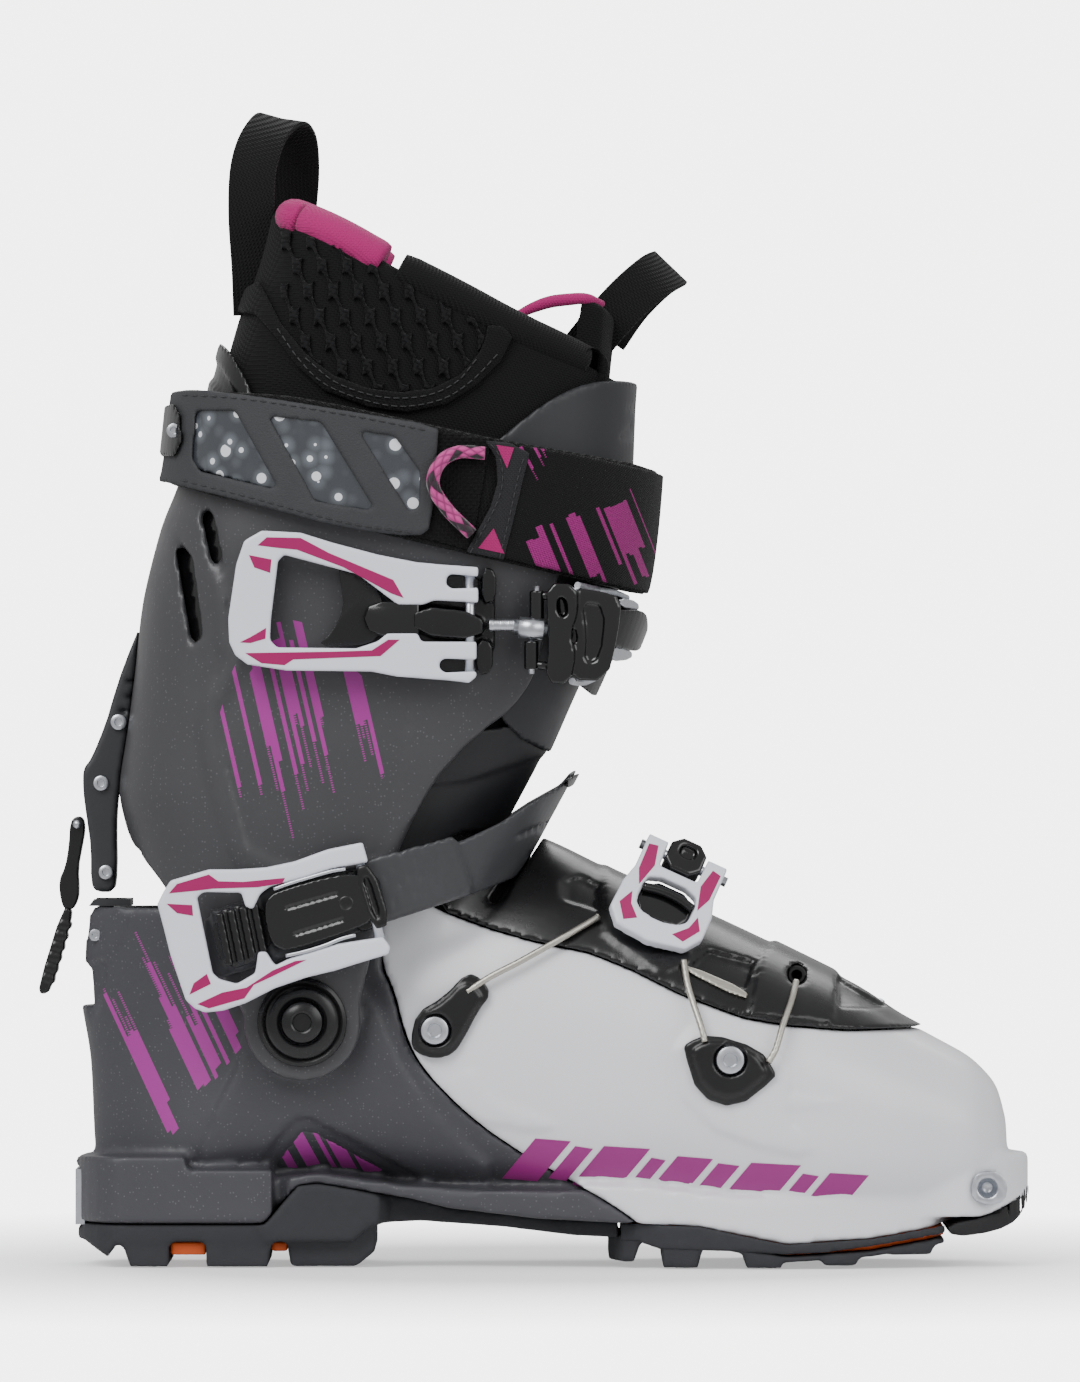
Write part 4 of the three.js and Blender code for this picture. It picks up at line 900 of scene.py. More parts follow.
heelFrame = carve(
    body(foot, 0, "heelFrameSkin"),
    ("keep", prism(belowFlap)),
    ("add", carve(band(foot, 1.5, -1), ("keep", prism(yPlate)))),
    ("add", carve(band(foot, 0.9, -1), ("keep", prism(smoothed([(2, 102), (4, 106), (17.3, 109), (14, 99),
        (11, 92.4), (6, 92.2), (2, 89)], 1))))),
    ("cut", carve(band(foot, 3, -1.1), ("keep", prism(smoothed([(2.6, 84), (3.4, 91.6), (10.6, 92.6),
        (9.6, 84), (7.6, 76), (4, 72)], 1))))),
    ("cut", carve(band(foot, 3, -0.9), ("keep", prism(vPanel)))),
    ("add", heelBlock),
    ("add", block((28, -33, 12.9), (60, 33, 29))),
    ("add", skirt([(57, 25), (64, 27), (75, 28), (100, 24.4), (125, 23), (150, 23), (175, 23)])),
    ("cut", body(foot, -shell["wall"])),
    ("keep", prism(rearEdge)),
    ("cut", prism(soleLine)),
    ("cut", block((-2, -13, 18), (10.5, 13, 26))),
    ("cut", block((-2, -15.4, 11.6), (3.6, 15.4, 29))),
    ("cut", block((-20, -11, 78), (9.5, 11, 125))),
)
seat = skinRings("seat", [circleAt(spot(*pivot[:1], y, pivot[1]), Vector((1, 0, 0)), Vector((0, 0, 1)),
    0.0164, 40) for y in (-37, 37)])
carve(heelFrame, ("add", carve(seat, ("cut", body(foot, -shell["wall"])))))
mould(heelFrame, shell["voxel"], 3)
settle(heelFrame, "shell", "frame", "graphite_plastic", "heel_frame", "heel_ledge")

framePanel = carve(band(foot, -0.55, -2.4, "framePanelPrint"), ("keep", prism(vPanel)))
framePanel = carve(framePanel, ("cut", prism([(x, z + 0.3) for x, z in soleLine])))
settle(mould(framePanel, 0.8, 2), "shell", "framePanel", "graphite_plastic")

# slanted bars printed along the side of the toe shell
bars = {"left": 134, "right": 240, "leftHeight": 33, "rightHeight": 22.5, "lean": 5}
printed = []
share = 0.0
for width, tall in ((0.1, 1), (0.05, 0.8), (0.13, 1), (0.04, 0.62), (0.1, 0.86), (0.06, 0.7), (0.14, 0.94),
    (0.045, 0.6), (0.11, 0.8)):
    x0 = bars["left"] + (bars["right"] - bars["left"]) * share
    x1 = x0 + (bars["right"] - bars["left"]) * width
    mid = bars["leftHeight"] + (bars["rightHeight"] - bars["leftHeight"]) * (share + width / 2)
    half = 6.2 * tall
    lean = bars["lean"] * tall
    printed.append([(x0 + lean, mid + half), (x1 + lean, mid + half - 0.8), (x1 - lean, mid - half - 0.8),
        (x0 - lean, mid - half)])
    share += width + 0.022
stripes = [carve(band(foot, 0.16, -0.8, "toeBars"),
    ("keep", prism(outline, -wide, 0))) for outline in printed[:1]]
for outline in printed[1:]:
    stripes.append(carve(band(foot, 0.16, -0.8), ("keep", prism(outline, -wide, 0))))
toeBars = welded("toeBars", *stripes)
shadeSmooth(toeBars, 30)
settle(toeBars, "shell", "ink", "pink_cord")

# overlap flap over the instep

aboveFlap = [
    (106, 119), *[(x, z + 0.4) for x, z in flapLine[1:]], (320, 200), (142, 200), (130, 119),
]
strapRoom = carve(band(leg, 6.6, 3.0), ("keep", prism([(86, 98), (160, 118), (175, 132), (175, 160),
    (86, 130)])))
sliderWindow = [(185.4, 90.6), (191, 95.4), (205.2, 91.8), (201.8, 82.8), (186, 88.4)]
toeWindow = [(229.5, 87.2), (239, 81.6), (246.6, 77), (229.5, 78)]
instepWindow = [(147, 115.6), (152.5, 117.4), (158.5, 114.4), (158.5, 106.4), (147, 110)]
instepFlap = carve(
    body(foot, 1.4, "instepFlapSkin"),
    ("add", carve(band(foot, 2.6, 0), ("keep", prism([(203.5, 76), (207.5, 93.9), (213, 99), (231, 92),
        (228, 74)])))),
    ("add", carve(band(foot, 2.2, 0), ("keep", prism([(160, 124), (176, 118), (186, 92), (176, 88),
        (160, 100)])))),
    ("keep", prism(aboveFlap)),
    ("cut", body(foot, -2.2)),
    ("cut", strapRoom),
    ("cut", carve(band(foot, 5, -0.6), ("keep", prism(sliderWindow, -wide, 0)))),
    ("cut", carve(band(foot, 5, -0.2), ("keep", prism(toeWindow, -wide, 0)))),
    ("cut", carve(band(foot, 5, 0.0), ("keep", prism(instepWindow, -wide, 0)))),
)
pocketed(instepFlap, 217.5, 87.4, 2.9, -60, -5)
mould(instepFlap, 1.0, 3)
settle(instepFlap, "shell", "black", "black_plastic", "instep_flap")

# soles

sole = {"voxel": 1.0}


def lugRow(outlines, half, split=5):
    # lugs in two rows with a channel between them
    return [prism(outline, *side) for outline in outlines for side in ((-half, -split), (split, half))]


heelPlan = slab([(60, 32), *[(16 - 15.4 * math.cos(a), 32 * math.sin(a)) for a in
                [math.pi / 2 - math.pi * i / 16 for i in range(17)]], (60, -32)], -1, 40)
heelSole = prism([(1, 7.4), (1, 12.5), (60, 12.5), (60, 7.4)], -32, 32, "heelSoleSkin")
heelRubber = carve(
    heelSole,
    *[("add", lug) for lug in lugRow([
        [(2.4, 8), (10.9, 2.6), (12.4, 6.4), (15.2, 6.4), (17.4, 0), (29, 0), (29, 8)],
        [(40.2, 8), (40.2, 0), (58.6, 0), (60, 8)],
    ], 31.6)],
    ("keep", heelPlan),
    ("add", prism([
        (56, 12.3), (57.6, 12.4), (67.8, 24.4), (73.8, 25), (101.9, 20.2), (112.8, 17.4), (140.1, 14.2),
        (164, 13),
        (164, 8.6), (150, 9), (129.2, 11.6), (104.7, 13.4), (91.4, 12.8), (87.4, 10.5), (84, 7.5),
        (58, 7.5),
    ], -33, 33)),
    *[("add", lug) for lug in lugRow([[(64, 9), (65.6, 0), (85.3, 0), (91, 4.6), (91, 12)]], 29)],
    ("cut", prism([(29, -1), (40.2, -1), (40.2, 7.3), (29, 7.3)])),
    ("cut", block((-2, -15.4, 11.6), (3.6, 15.4, 29))),
    ("cut", body(foot, -2)),
    ("cut", carve(slab([(80, 60), (96, 24), (150, 22), (170, 32), (170, 60)], -5, 60),
        ("add", slab([(80, -60), (96, -24), (150, -22), (170, -32), (170, -60)], -5, 60)))),
)
settle(mould(heelRubber, sole["voxel"], 2), "shell", "rubber", "sole_rubber", "heel_sole")

heelCore = prism([(29.4, 3.4), (40, 3.4), (40, 7.2), (29.4, 7.2)], -29, 29, "heelCoreSkin")
coreBits = [heelCore, prism([(59.6, 4.4), (64.6, 4.4), (64.6, 7.2), (59.6, 7.2)], -27, 27)]
settle(mould(welded("heelCoreSkin", *coreBits), 0.7, 2), "shell", "orange", "orange_core")

foreTop = [(165, 13.2), (188, 12.4), (205, 8.8), (214, 7), (240, 8.6), (262, 12.4)]
forePlan = [(161, 30), (176, 39), (200, 43.5), (225, 42), (250, 35), (266, 27)]
forePlan = smoothed([(x, -y) for x, y in forePlan] + [(x, y) for x, y in reversed(forePlan)], 1)
coreDepth = 3.2
foreCore = carve(
    prism([(x, z - 0.2) for x, z in foreTop] + [(x, z - 0.2 - coreDepth) for x, z in reversed(foreTop)],
        name="soleCoreSkin"),
    ("keep", slab([(x if x < 230 else x - 3, y * 0.94) for x, y in forePlan], -10, 60)),
)
settle(mould(foreCore, 0.9, 2), "shell", "orange", "orange_core", "sole_core")
treadLow = [(x, z - 0.5 - coreDepth) for x, z in foreTop]
foreSole = prism(treadLow + [(x, z - 1.7) for x, z in reversed(treadLow)], name="foreSoleSkin")
foreLugs = [(160.5, 169.4, 1.4), (176.6, 188.4, 0), (201.2, 213.3, 0), (224.8, 236, 0.6), (245, 258.5, 3.6)]
lugs = []
for x0, x1, low in foreLugs:
    lugs += lugRow([[(x0, 12), (x0 + 0.6, low), (x1 - 0.8, low), (x1 + 2.6, 12)]], 60, 7)
foreSole = carve(
    foreSole,
    *[("add", lug) for lug in lugs],
    ("cut", prism([*treadLow, (320, 80), (150, 80), (150, treadLow[0][1])])),
    ("keep", slab(forePlan, -10, 60)),
)
settle(mould(foreSole, sole["voxel"], 2), "shell", "rubber", "sole_rubber", "fore_sole")

# rubber wall round the ball of the foot, outside the core
wall = carve(
    slab([(x, y * 1.012) for x, y in forePlan], 3.5, 14, "soleWall"),
    ("cut", slab([(x + (0.6 if x > 210 else -0.6), y * 0.955) for x, y in forePlan], 0, 20)),
    ("cut", prism([(140, 13.0), *foreTop, (320, 12.4), (320, 60), (140, 60)])),
    ("cut", prism([(140, 8.6), (170, 7.6), (176, 5.6), (190, 5.2), (199, 5), (214, 4), (226, 4.6),
        (240, 6.4), (262, 9.8), (320, 9.8), (320, -20), (140, -20)])),
)
settle(mould(wall, 0.8, 1), "shell", "rubber", "sole_rubber")

bumper = carve(
    prism(smoothed([(262, 12.4), (276, 15.0), (283.5, 19.8), (288, 24.5), (288.6, 20), (284.5, 13.4),
        (277, 10.2), (264, 8.8)], 1), -40, 40, "toeBumperSkin"),
    ("keep", slab(roundEnd(200, 288.2, 32.6, 24), -10, 60)),
    ("cut", slab(roundEnd(200, 287.6, 32.3, 24), 15.2, 60)),
)
settle(mould(bumper, 0.8, 2), "shell", "toeRubber", "sole_rubber", "toe_bumper")
print("stage: lower shell and soles ready")

# cuff

cuffEdge = [
    (-20, 206), (-20, 135), (15, 132.5), (18.1, 126.1), (23.9, 119.2), (28.4, 113.4),
    *[(pivot[0] + 17.6 * math.cos(math.pi * (0.95 + k / 20 * 1.14)),
        pivot[1] + 17.6 * math.sin(math.pi * (0.95 + k / 20 * 1.14))) for k in range(21)],
    (89.8, 93.2), (97.4, 123.1), (101.9, 133.1), (107.1, 143.1), (113.4, 151.2), (122.8, 160.6),
    (129.8, 165.5), (134.9, 171.2), (138.8, 177.6), (142, 190), (146, 205), (147, 222), (120, 232),
    (90, 243),
    (60, 251), (34, 259), (-20, 268),
]
ribLine = [
    (41.5, 206), (44.3, 187), (47, 180), (39.5, 170), (38.8, 160), (41.5, 146), (50, 119), (54.6, 119),
    (46.1, 146.5),
    (43.4, 160.5), (44.3, 169.6), (52.4, 180), (48, 187.5), (45.4, 206),
]
ventSlots = [
    [(30.3, 220), (36.3, 212.7), (39.6, 188.8), (36.3, 186.6), (33, 205)],
    [(37.5, 232.3), (42.7, 225.1), (46.9, 205.4), (42, 212)],
]
cuffShell = carve(
    body(leg, 0, "cuffShellSkin"),
    ("cut", carve(band(leg, 3, -0.7), ("keep", prism(smoothed([(50, 122), (46.6, 147), (44.2, 160.6),
        (45, 168.8), (53.4, 179.8), (50.4, 192), (52, 215), (96, 208), (104, 180), (98, 135), (92, 118)],
        1), -wide, 0)))),
    ("add", carve(band(leg, 0.7, -1), ("keep", prism(smoothed(ribLine, 1), -wide, 0)))),
    ("cut", body(leg, -4)),
    ("keep", prism(smoothed(cuffEdge, 1))),
    *[("cut", prism(slot, -wide, 0)) for slot in ventSlots],
    ("cut", block((0, -24, 100), (34, 24, 125))),
)
pocketed(cuffShell, *pivot, 7, -80, 80)
mould(cuffShell, 1.25, 3)
settle(cuffShell, "cuff", "cuff", "grey_plastic", "cuff_shell")

# dark floor behind the two slots
ventFloor = carve(band(leg, -3.2, -4.1, "ventFloor"),
    ("keep", prism([(26, 224), (34, 236), (50, 230), (50, 200), (42, 182), (30, 184)], -wide, 0)))
settle(mould(ventFloor, 0.9, 1), "cuff", "gloss", "black_plastic")

for side, word in ((-1, "Outer"), (1, "Inner")):
    face = 46.4
    ring = turned("pivotRing" + word, spot(pivot[0], side * face, pivot[1]), (0, side, 0), [
        (7.2, 0), (12.9, 0), (13.4, 0.6), (13.2, 1.5), (12.2, 1.9), (11.3, 1.3), (10.6, 2.4), (9.6, 3.1),
        (7.6, 3.3), (7.0, 2.8), (7.2, 0),
    ], 56)
    settle(ring, "cuff", "black", "black_plastic", "pivot_ring_" + word.lower())
    bolt = turned("pivotBolt" + word, spot(pivot[0], side * 49, pivot[1]), (0, side, 0), [
        (0, -3), (6.3, -3), (6.4, 0.4), (6.0, 1.3), (5.0, 1.9), (3.4, 2.2), (2.9, 1.9), (2.6, 0.2), (0, 0),
    ], 40)
    settle(bolt, "shell", "black", "black_plastic", "pivot_bolt_" + word.lower())

tongueEdge = [(126, 163), (150, 150), (200, 150), (200, 263), (172.4, 265.8), (157.3, 266), (144.6, 261),
    (129.8, 249.6), (120, 240), (118, 200)]
cuffTongue = carve(
    body(leg, -4.4, "cuffTongueSkin"),
    ("cut", carve(band(leg, 0, -5.0), ("keep", prism([(166, 258), (171, 262), (172, 254)], -wide, 0)))),
    ("cut", carve(band(leg, 0, -5.0), ("keep", prism([(163, 248), (168, 254), (170, 247)], -wide, 0)))),
    ("cut", body(leg, -7.4)),
    ("keep", prism(smoothed(tongueEdge, 2))),
)
settle(mould(cuffTongue, 1.0, 2), "cuff", "tongue", "graphite_plastic", "cuff_tongue")

spoiler = carve(
    body(leg, -4.4, "cuffSpoilerSkin"),
    ("cut", carve(band(leg, 0, -5.4), ("keep", prism([(38, 277), (44, 271), (52, 258), (55, 250), (50, 252),
        (43, 263), (36, 272)])))),
    ("cut", body(leg, -7.4)),
    ("keep", prism(smoothed([(20, 258), (30, 266), (36, 274.5), (41, 279), (46, 276.6), (51, 269),
        (56, 258), (62, 240), (60, 225), (20, 225)], 2))),
)
settle(mould(spoiler, 0.9, 2), "cuff", "black", "black_plastic", "cuff_spoiler")

# bellows: dark overlapping layers between the shell and the cuff
bellows = carve(
    body(leg, -6.4, "bellowsSkin"),
    ("add", carve(body(leg, -5.6), ("keep", prism([(60, 140), (118, 146), (170, 162), (170, 200),
        (60, 160)])))),
    ("cut", body(leg, -8.6)),
    ("keep", prism([(92, 122), (104, 123.4), (117, 130.4), (136, 132), (160, 134), (162, 166), (112, 160),
        (94, 146)])),
)
mould(bellows, 1.0, 2)
bellows.data.materials.clear()
bellows.data.materials.append(finishes["bellows"])
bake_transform(bellows)
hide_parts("bellows")
print("stage: cuff ready")

# liner: a padded tube from the foot to above the cuff, with a rolled collar

linerOuter, linerInner = -8.2, -17.2
collarLine = [(48, 317), (60, 317.5), (77, 311), (96, 300), (115, 290.5), (132.2, 281), (148.5, 273.5),
    (160, 267.5), (170, 263), (200, 262)]
linerLeg = carve(
    body(leg, linerOuter, "linerLegSkin"),
    ("cut", body(leg, linerInner)),
    ("keep", prism([(-20, 140), (90, 140), (150, 170), (220, 170), *reversed(collarLine), (-20, 300)])),
)
mould(linerLeg, 1.7, 4)
settle(linerLeg, "cuff", "liner", "liner_fabric", "liner_cuff")

rollPath = []
for x, z in smoothed(collarLine[1:-2], 2)[:-1]:
    if rollPath and x <= rollPath[-1][0]:
        continue
    rollPath.append((x, z, sideAt(leg, x, z, -12.4)))
rollPath = [p for p in rollPath if p[2] > 4]
rear = [(x, z, y) for x, z, y in rollPath if x <= 98]
fore = [(x, z, y) for x, z, y in rollPath if x >= 94]


def swell(share):
    return 5.6 * min(1, 0.9 + 4 * min(share, 1 - share))


pinkRoll = rod("collarRear", smoothPath([*[spot(x, -y, z) for x, z, y in reversed(rear)],
    *[spot(x, y, z) for x, z, y in rear]], 4), swell, 18, straight=True)
settle(pinkRoll, "cuff", "collarPink", "liner_fabric")
darkRoll = rod("collarFront", smoothPath([*[spot(x, -y, z) for x, z, y in fore],
    *[spot(x, y, z) for x, z, y in reversed(fore)]], 4), swell, 18, straight=True)
settle(darkRoll, "cuff", "liner", "liner_fabric")

linerFoot = carve(
    body(foot, -4.9, "linerFootSkin"),
    ("cut", body(foot, -11.9)),
    ("keep", prism([(-20, 12), (300, 12), (300, 140), (116, 116), (60, 106), (-20, 104)])),
    ("cut", carve(band(leg, 6.6, 3.0), ("keep", prism([(86, 98), (160, 118), (175, 132), (175, 160),
        (86, 130)])))),
)
settle(mould(linerFoot, 2.0, 2), "shell", "liner", "liner_fabric", "liner_foot")

linerAnkle = carve(
    body(leg, -9.4, "linerAnkleSkin"),
    ("cut", body(leg, -17.4)),
    ("keep", prism([(-20, 121.5), (200, 121.5), (200, 169), (150, 169), (90, 139.6), (-20, 139.6)])),
    ("cut", carve(body(foot, 0.5), ("keep", prism([(-20, -20), (300, -20), (300, 118), (-20, 118)])))),
)
mould(linerAnkle, 1.8, 2)
linerAnkle.data.materials.clear()
linerAnkle.data.materials.append(finishes["liner"])
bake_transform(linerAnkle)
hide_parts("liner_ankle")
print("stage: liner ready")

# power strap
strapEdge = [
    (20, 238), (43.6, 230.8), (65.6, 226.6), (91.7, 219.9), (118.3, 213.6), (154.9, 205.4), (190, 198),
    (190, 235), (167.3, 241.1), (137.3, 246.2), (124, 248.6), (81.1, 258), (65.6, 260.8), (20, 264.4),
]
strap = carve(body(leg, 3.4, "powerStrapSkin"), ("cut", body(leg, 0.5)), ("keep", prism(strapEdge)))
settle(mould(strap, 1.0, 1), "cuff", "webbing", "webbing", "power_strap")

windows = [
    [(37.5, 256.7), (49.4, 256.3), (62.6, 232.6), (38.8, 238.4), (36.4, 242.4)],
    [(59.4, 254.7), (75.2, 252.8), (91.4, 226.4), (73.5, 229.3)],
    [(86.4, 250.2), (97.0, 248.6), (104.6, 238.2), (104.3, 227.2), (101.4, 226.4)],
]
shieldEdge = [
    (22, 262.5), (35.6, 263.1), (54.2, 261), (86, 255.7), (110.5, 251.6), (109.9, 247.7), (108.3, 221.6),
    (104.1, 218.4),
    (81.8, 221.2), (54.2, 228.6), (34.1, 233.8), (22, 237),
]
shield = carve(
    body(leg, 6.1, "strapShieldSkin"),
    ("cut", body(leg, 3.8)),
    ("keep", prism(smoothed(shieldEdge, 1), -wide, 0)),
    *[("cut", prism(window, -wide, 0)) for window in windows],
)
settle(mould(shield, 0.8, 1), "cuff", "shield", "shield_plastic", "strap_shield")
panes = carve(band(leg, 5.0, 3.9, "shieldPanes"), ("keep",
    prism([(34, 259), (60, 258), (107, 250), (106, 224), (80, 227), (34, 240)], -wide, 0)))
settle(mould(panes, 0.8, 1), "cuff", "pane", "shield_plastic")

fleece = carve(band(leg, 4.3, 3.2, "strapFleece"),
    ("keep", prism([(104, 251), (126, 248), (120, 214.5), (102, 219)], -wide, 0)))
settle(mould(fleece, 0.7, 0), "cuff", "fleece", "webbing")
cover = carve(band(leg, 4.9, 3.2, "strapCover"), ("keep",
    prism([(134, 246.2), (155, 242.6), (177, 238), (200, 233), (200, 196), (171, 202.6), (149.7, 207.4),
        (127, 213)], -wide, 24)))
settle(mould(cover, 0.8, 1), "cuff", "printed", "webbing")
patch = carve(band(leg, 5.6, 3.2, "strapPatch"), ("keep",
    prism([(123.9, 247.3), (127.2, 242.4), (127.8, 235), (125.6, 227.5), (118.4, 214.2), (129.6, 211.8),
        (137.4, 243.6), (131, 246.8)], -wide, 0)))
settle(mould(patch, 0.7, 2), "cuff", "patch", "webbing")
print("stage: power strap ready")

# webbing loops


def ribbon(name, path, across, width, thick):
    # a flat strap along a path; across gives the direction of its width at each point
    rings = []
    for place, ahead, side in zip(path, along(path), across):
        side = (side - ahead * side.dot(ahead)).normalized()
        up = ahead.cross(side)
        w, t = width / 2000, thick / 2000
        rings.append([place + side * (w * a) + up * (t * b) for a, b in
                      ((-1, -0.4), (-0.96, -1), (0, -1), (0.96, -1), (1, -0.4), (1, 0.4), (0.96, 1), (0, 1),
                          (-0.96, 1), (-1, 0.4))])
    return shadeSmooth(skinRings(name, rings), 40)


def loopPiece(name, points, sides, width, thick, cadNode):
    path = smoothPath([spot(*p) for p in points], 6)
    turns = smoothPath([Vector(s) for s in sides], 6)
    made = ribbon(name, path, turns, width, thick)
    return settle(made, "cuff", "webbing", "webbing", cadNode)


loopPiece("rearPullLoop", [
    (55, -16, 286), (54.5, -17.5, 300), (53.5, -17, 316), (54, -14.5, 330), (57, -9, 340), (61.5, 0, 345.2),
    (65.5, 7, 341), (66.5, 11, 331), (65.5, 12.5, 318), (64, 12.5, 306),
], [(1, 0, 0)] * 4 + [(1, -0.1, -0.1), (1, -0.2, -0.25), (1, -0.1, -0.1)] + [(1, 0, 0)] * 3, 14, 1.8,
"rear_pull_loop")
loopPiece("frontPullLoop", [
    (150, -11, 271), (158, -12, 281), (167, -12, 291), (175, -9, 298), (179.5, 0, 300.5), (175, 9, 298),
    (167, 12, 290), (160, 12, 280),
], [(0.72, 0, -0.69)] * 8, 14, 1.8, "front_pull_loop")

# finger loop
loopDiameter = 4
lift = 3.8 + loopDiameter / 2 + 0.4
loopPoints = [onOuter(leg, 124, 243.5, lift + 0.6), onOuter(leg, 116, 243.8, lift),
    onOuter(leg, 110.5, 240.5, lift + 2.4),
              onOuter(leg, 108.6, 234, lift + 2.4), onOuter(leg, 112.6, 227, lift + 1.6),
              onOuter(leg, 120, 219.5, lift + 0.6)]
loopPath = smoothPath(loopPoints, 8)
fingerLoop = rod("fingerLoopCord", loopPath, loopDiameter / 2, 20, straight=True)
settle(fingerLoop, "cuff", "braid", "pink_cord", "finger_loop")
print("stage: loops ready")

# buckles


upper = {
    "near": -55.5,
    "thick": 5,
    "outline": [
        (52.3, 217.5), (57.5, 220.5), (69, 219.9), (78.6, 216.9), (92.3, 213.3), (103.5, 211.1),
        (111, 210.4),
        (122, 209.6), (122, 199), (108.9, 199.7), (105, 198.2), (102.6, 193), (105, 187.4), (121.5, 187.4),
        (121.5, 177), (119.2, 175.1), (113.7, 175.8), (97.7, 177), (90.1, 178.5), (64.7, 178.8),
        (53.2, 180.6),
        (49.6, 183.3), (47.8, 187.2), (47.5, 194.2), (49.9, 210.5),
    ],
    "opening": [
        (64.1, 213.3), (62.3, 211.4), (60.2, 194.2), (59.9, 187.9), (62, 185.7), (85.6, 185.4), (92, 187.5),
        (95, 190), (110, 190), (110, 198.4), (98, 198.4), (92, 203), (86, 207.5),
    ],
    "slots": [
        [(112.6, 206.6), (113.6, 207.6), (126, 206.4), (126, 203.6), (114, 203.2), (112.4, 204.4)],
        [(110.4, 181.2), (111.6, 182.4), (126, 181.8), (126, 178.8), (112, 178.2), (110.4, 179.4)],
    ],
    "inlays": [
        [(56.3, 216.1), (59, 218.5), (69.1, 218.3), (77.6, 213.8), (96.7, 205.8), (99.8, 200.4),
            (96, 201.8), (81.8, 209.6), (68, 214.8), (62.7, 215.3)],
        [(53.7, 213.2), (60.4, 211.9), (60, 207.9), (55.3, 209.5)],
        [(51, 187.2), (54.2, 188.8), (58.8, 191.5), (58.6, 188.3), (54.2, 187)],
        [(52.6, 184), (64.8, 184.2), (77.6, 184.4), (90.3, 184.8), (95.2, 188), (98.6, 188), (92.9, 183.1),
            (66.9, 182.1), (64.3, 180.4), (57.4, 181)],
    ],
}
ankle = {
    "near": -53.36,
    "thick": 5,
    "outline": [
        (28.1, 112.8), (30.2, 116.2), (41.7, 119.5), (49.6, 119.5), (58.7, 120.1), (67.2, 121.9),
        (77.1, 125.5),
        (87.5, 127.6), (89.2, 121.6), (78.6, 119.8), (70.2, 117), (60, 114.4), (57, 112.2), (54.8, 107.6),
        (52.6, 108.4),
        (51.4, 112.6), (48, 112.6), (40.2, 112.8), (38.1, 111.3), (42.8, 88.6), (44.8, 86.8), (50, 85.4),
        (55.5, 88.6), (56.4, 95), (58.8, 95),
        (61.4, 90.8), (66, 93.2), (80, 97.4), (93.6, 99.4), (95.8, 96.4), (95.2, 94.2), (86.5, 91.6),
        (79.6, 89.4),
        (70.8, 87.3), (61.4, 84.1), (52.6, 79.6), (46, 77.4), (40.5, 76.8), (37.5, 78), (34.8, 80.5),
        (30.2, 94.1),
        (28.1, 102.5), (26.3, 109.2),
    ],
    "inlays": [
        [(29.8, 112.4), (32.2, 115.2), (41.7, 118), (44.5, 116), (51.8, 115.8), (64.4, 117), (63.6, 115.4),
            (56.2, 114.2), (42.8, 113.8), (38.3, 113.2)],
        [(29.1, 109.3), (36.7, 108.9), (37, 105.7), (32.2, 106.5)],
        [(35.9, 82.2), (37.2, 85.6), (41.1, 88.4), (42.3, 85.4)],
        [(38.3, 79.4), (45.6, 82.8), (52.9, 84.3), (60.7, 89.4), (67.4, 92.2), (70.8, 92.6), (60.7, 87.7),
            (55.1, 85.1), (52.3, 81.1), (41.7, 78.1)],
    ],
}
for name, plan, bodyName, cadNode, extra in (
    ("upperLever", upper, "upper_lever", "upper_buckle_lever", upper["slots"]),
    ("ankleLever", ankle, "ankle_lever", "ankle_buckle_lever", []),
):
    face = plan["near"] - plan["thick"]
    lever = prism(plan["outline"], face, plan["near"], name + "Skin")
    steps = [("cut", prism(slot)) for slot in extra]
    if "opening" in plan:
        steps.append(("cut", prism(plan["opening"])))
    mould(carve(lever, *steps), 0.6, 3)
    settle(lever, bodyName, "leverWhite", "white_plastic", cadNode)
    plates = [prism(pocket, face - 0.12, face + 1.6) for pocket in plan["inlays"]]
    settle(shadeSmooth(welded(name + "Inlays", *plates), 30), bodyName, "magenta", "white_plastic")

# ladder strap over the instep, with its ridged part and three short fingers
ladderEdge = [
    (95.3, 103.8), (121.3, 112.2), (134, 117.1), (154.3, 125.2), (170, 132), (170, 156),
    (149.7, 148.2), (146.4, 144.3), (136.7, 138.8), (128.6, 133.4), (117.1, 128), (89.5, 121.6),
]
tailEdge = [(97, 104.4), (62, 92), (42, 86), (39.6, 104), (60, 114.6), (91, 122)]
ladderCuts = [[(133, 128), (153, 137), (153, 138.6), (133, 129.6)],
    [(136, 122.4), (154, 130), (154, 131.4), (136, 123.8)]]
ridges = []
for k in range(9):
    shift = 3.25 * k
    ridges.append([(92.5 + shift, 104 + shift * 0.31), (94.6 + shift, 104.6 + shift * 0.31),
        (88.6 + shift, 122.4 + shift * 0.27), (86.5 + shift, 121.9 + shift * 0.27)])
for k in range(4):
    shift = 4.1 * k
    ridges.append([(47 + shift, 90 + shift * 0.3), (49.6 + shift, 90.8 + shift * 0.3),
        (44.4 + shift, 108 + shift * 0.3), (41.8 + shift, 107.2 + shift * 0.3)])
ladder = carve(
    body(leg, 6.0, "ladderStrapSkin"),
    ("cut", body(leg, 3.5)),
    ("keep", carve(prism(ladderEdge), ("add", prism(tailEdge, -wide, 0)))),
    *[("add", carve(band(leg, 7.2, 5), ("keep", prism(ridge, -wide, 0)))) for ridge in ridges],
    *[("cut", prism(cut, -wide, 0)) for cut in ladderCuts],
)
settle(mould(ladder, 0.9, 2), "shell", "strapGrey", "graphite_plastic", "ankle_ladder_strap")
print("stage: levers and strap ready")


# small shared shapes


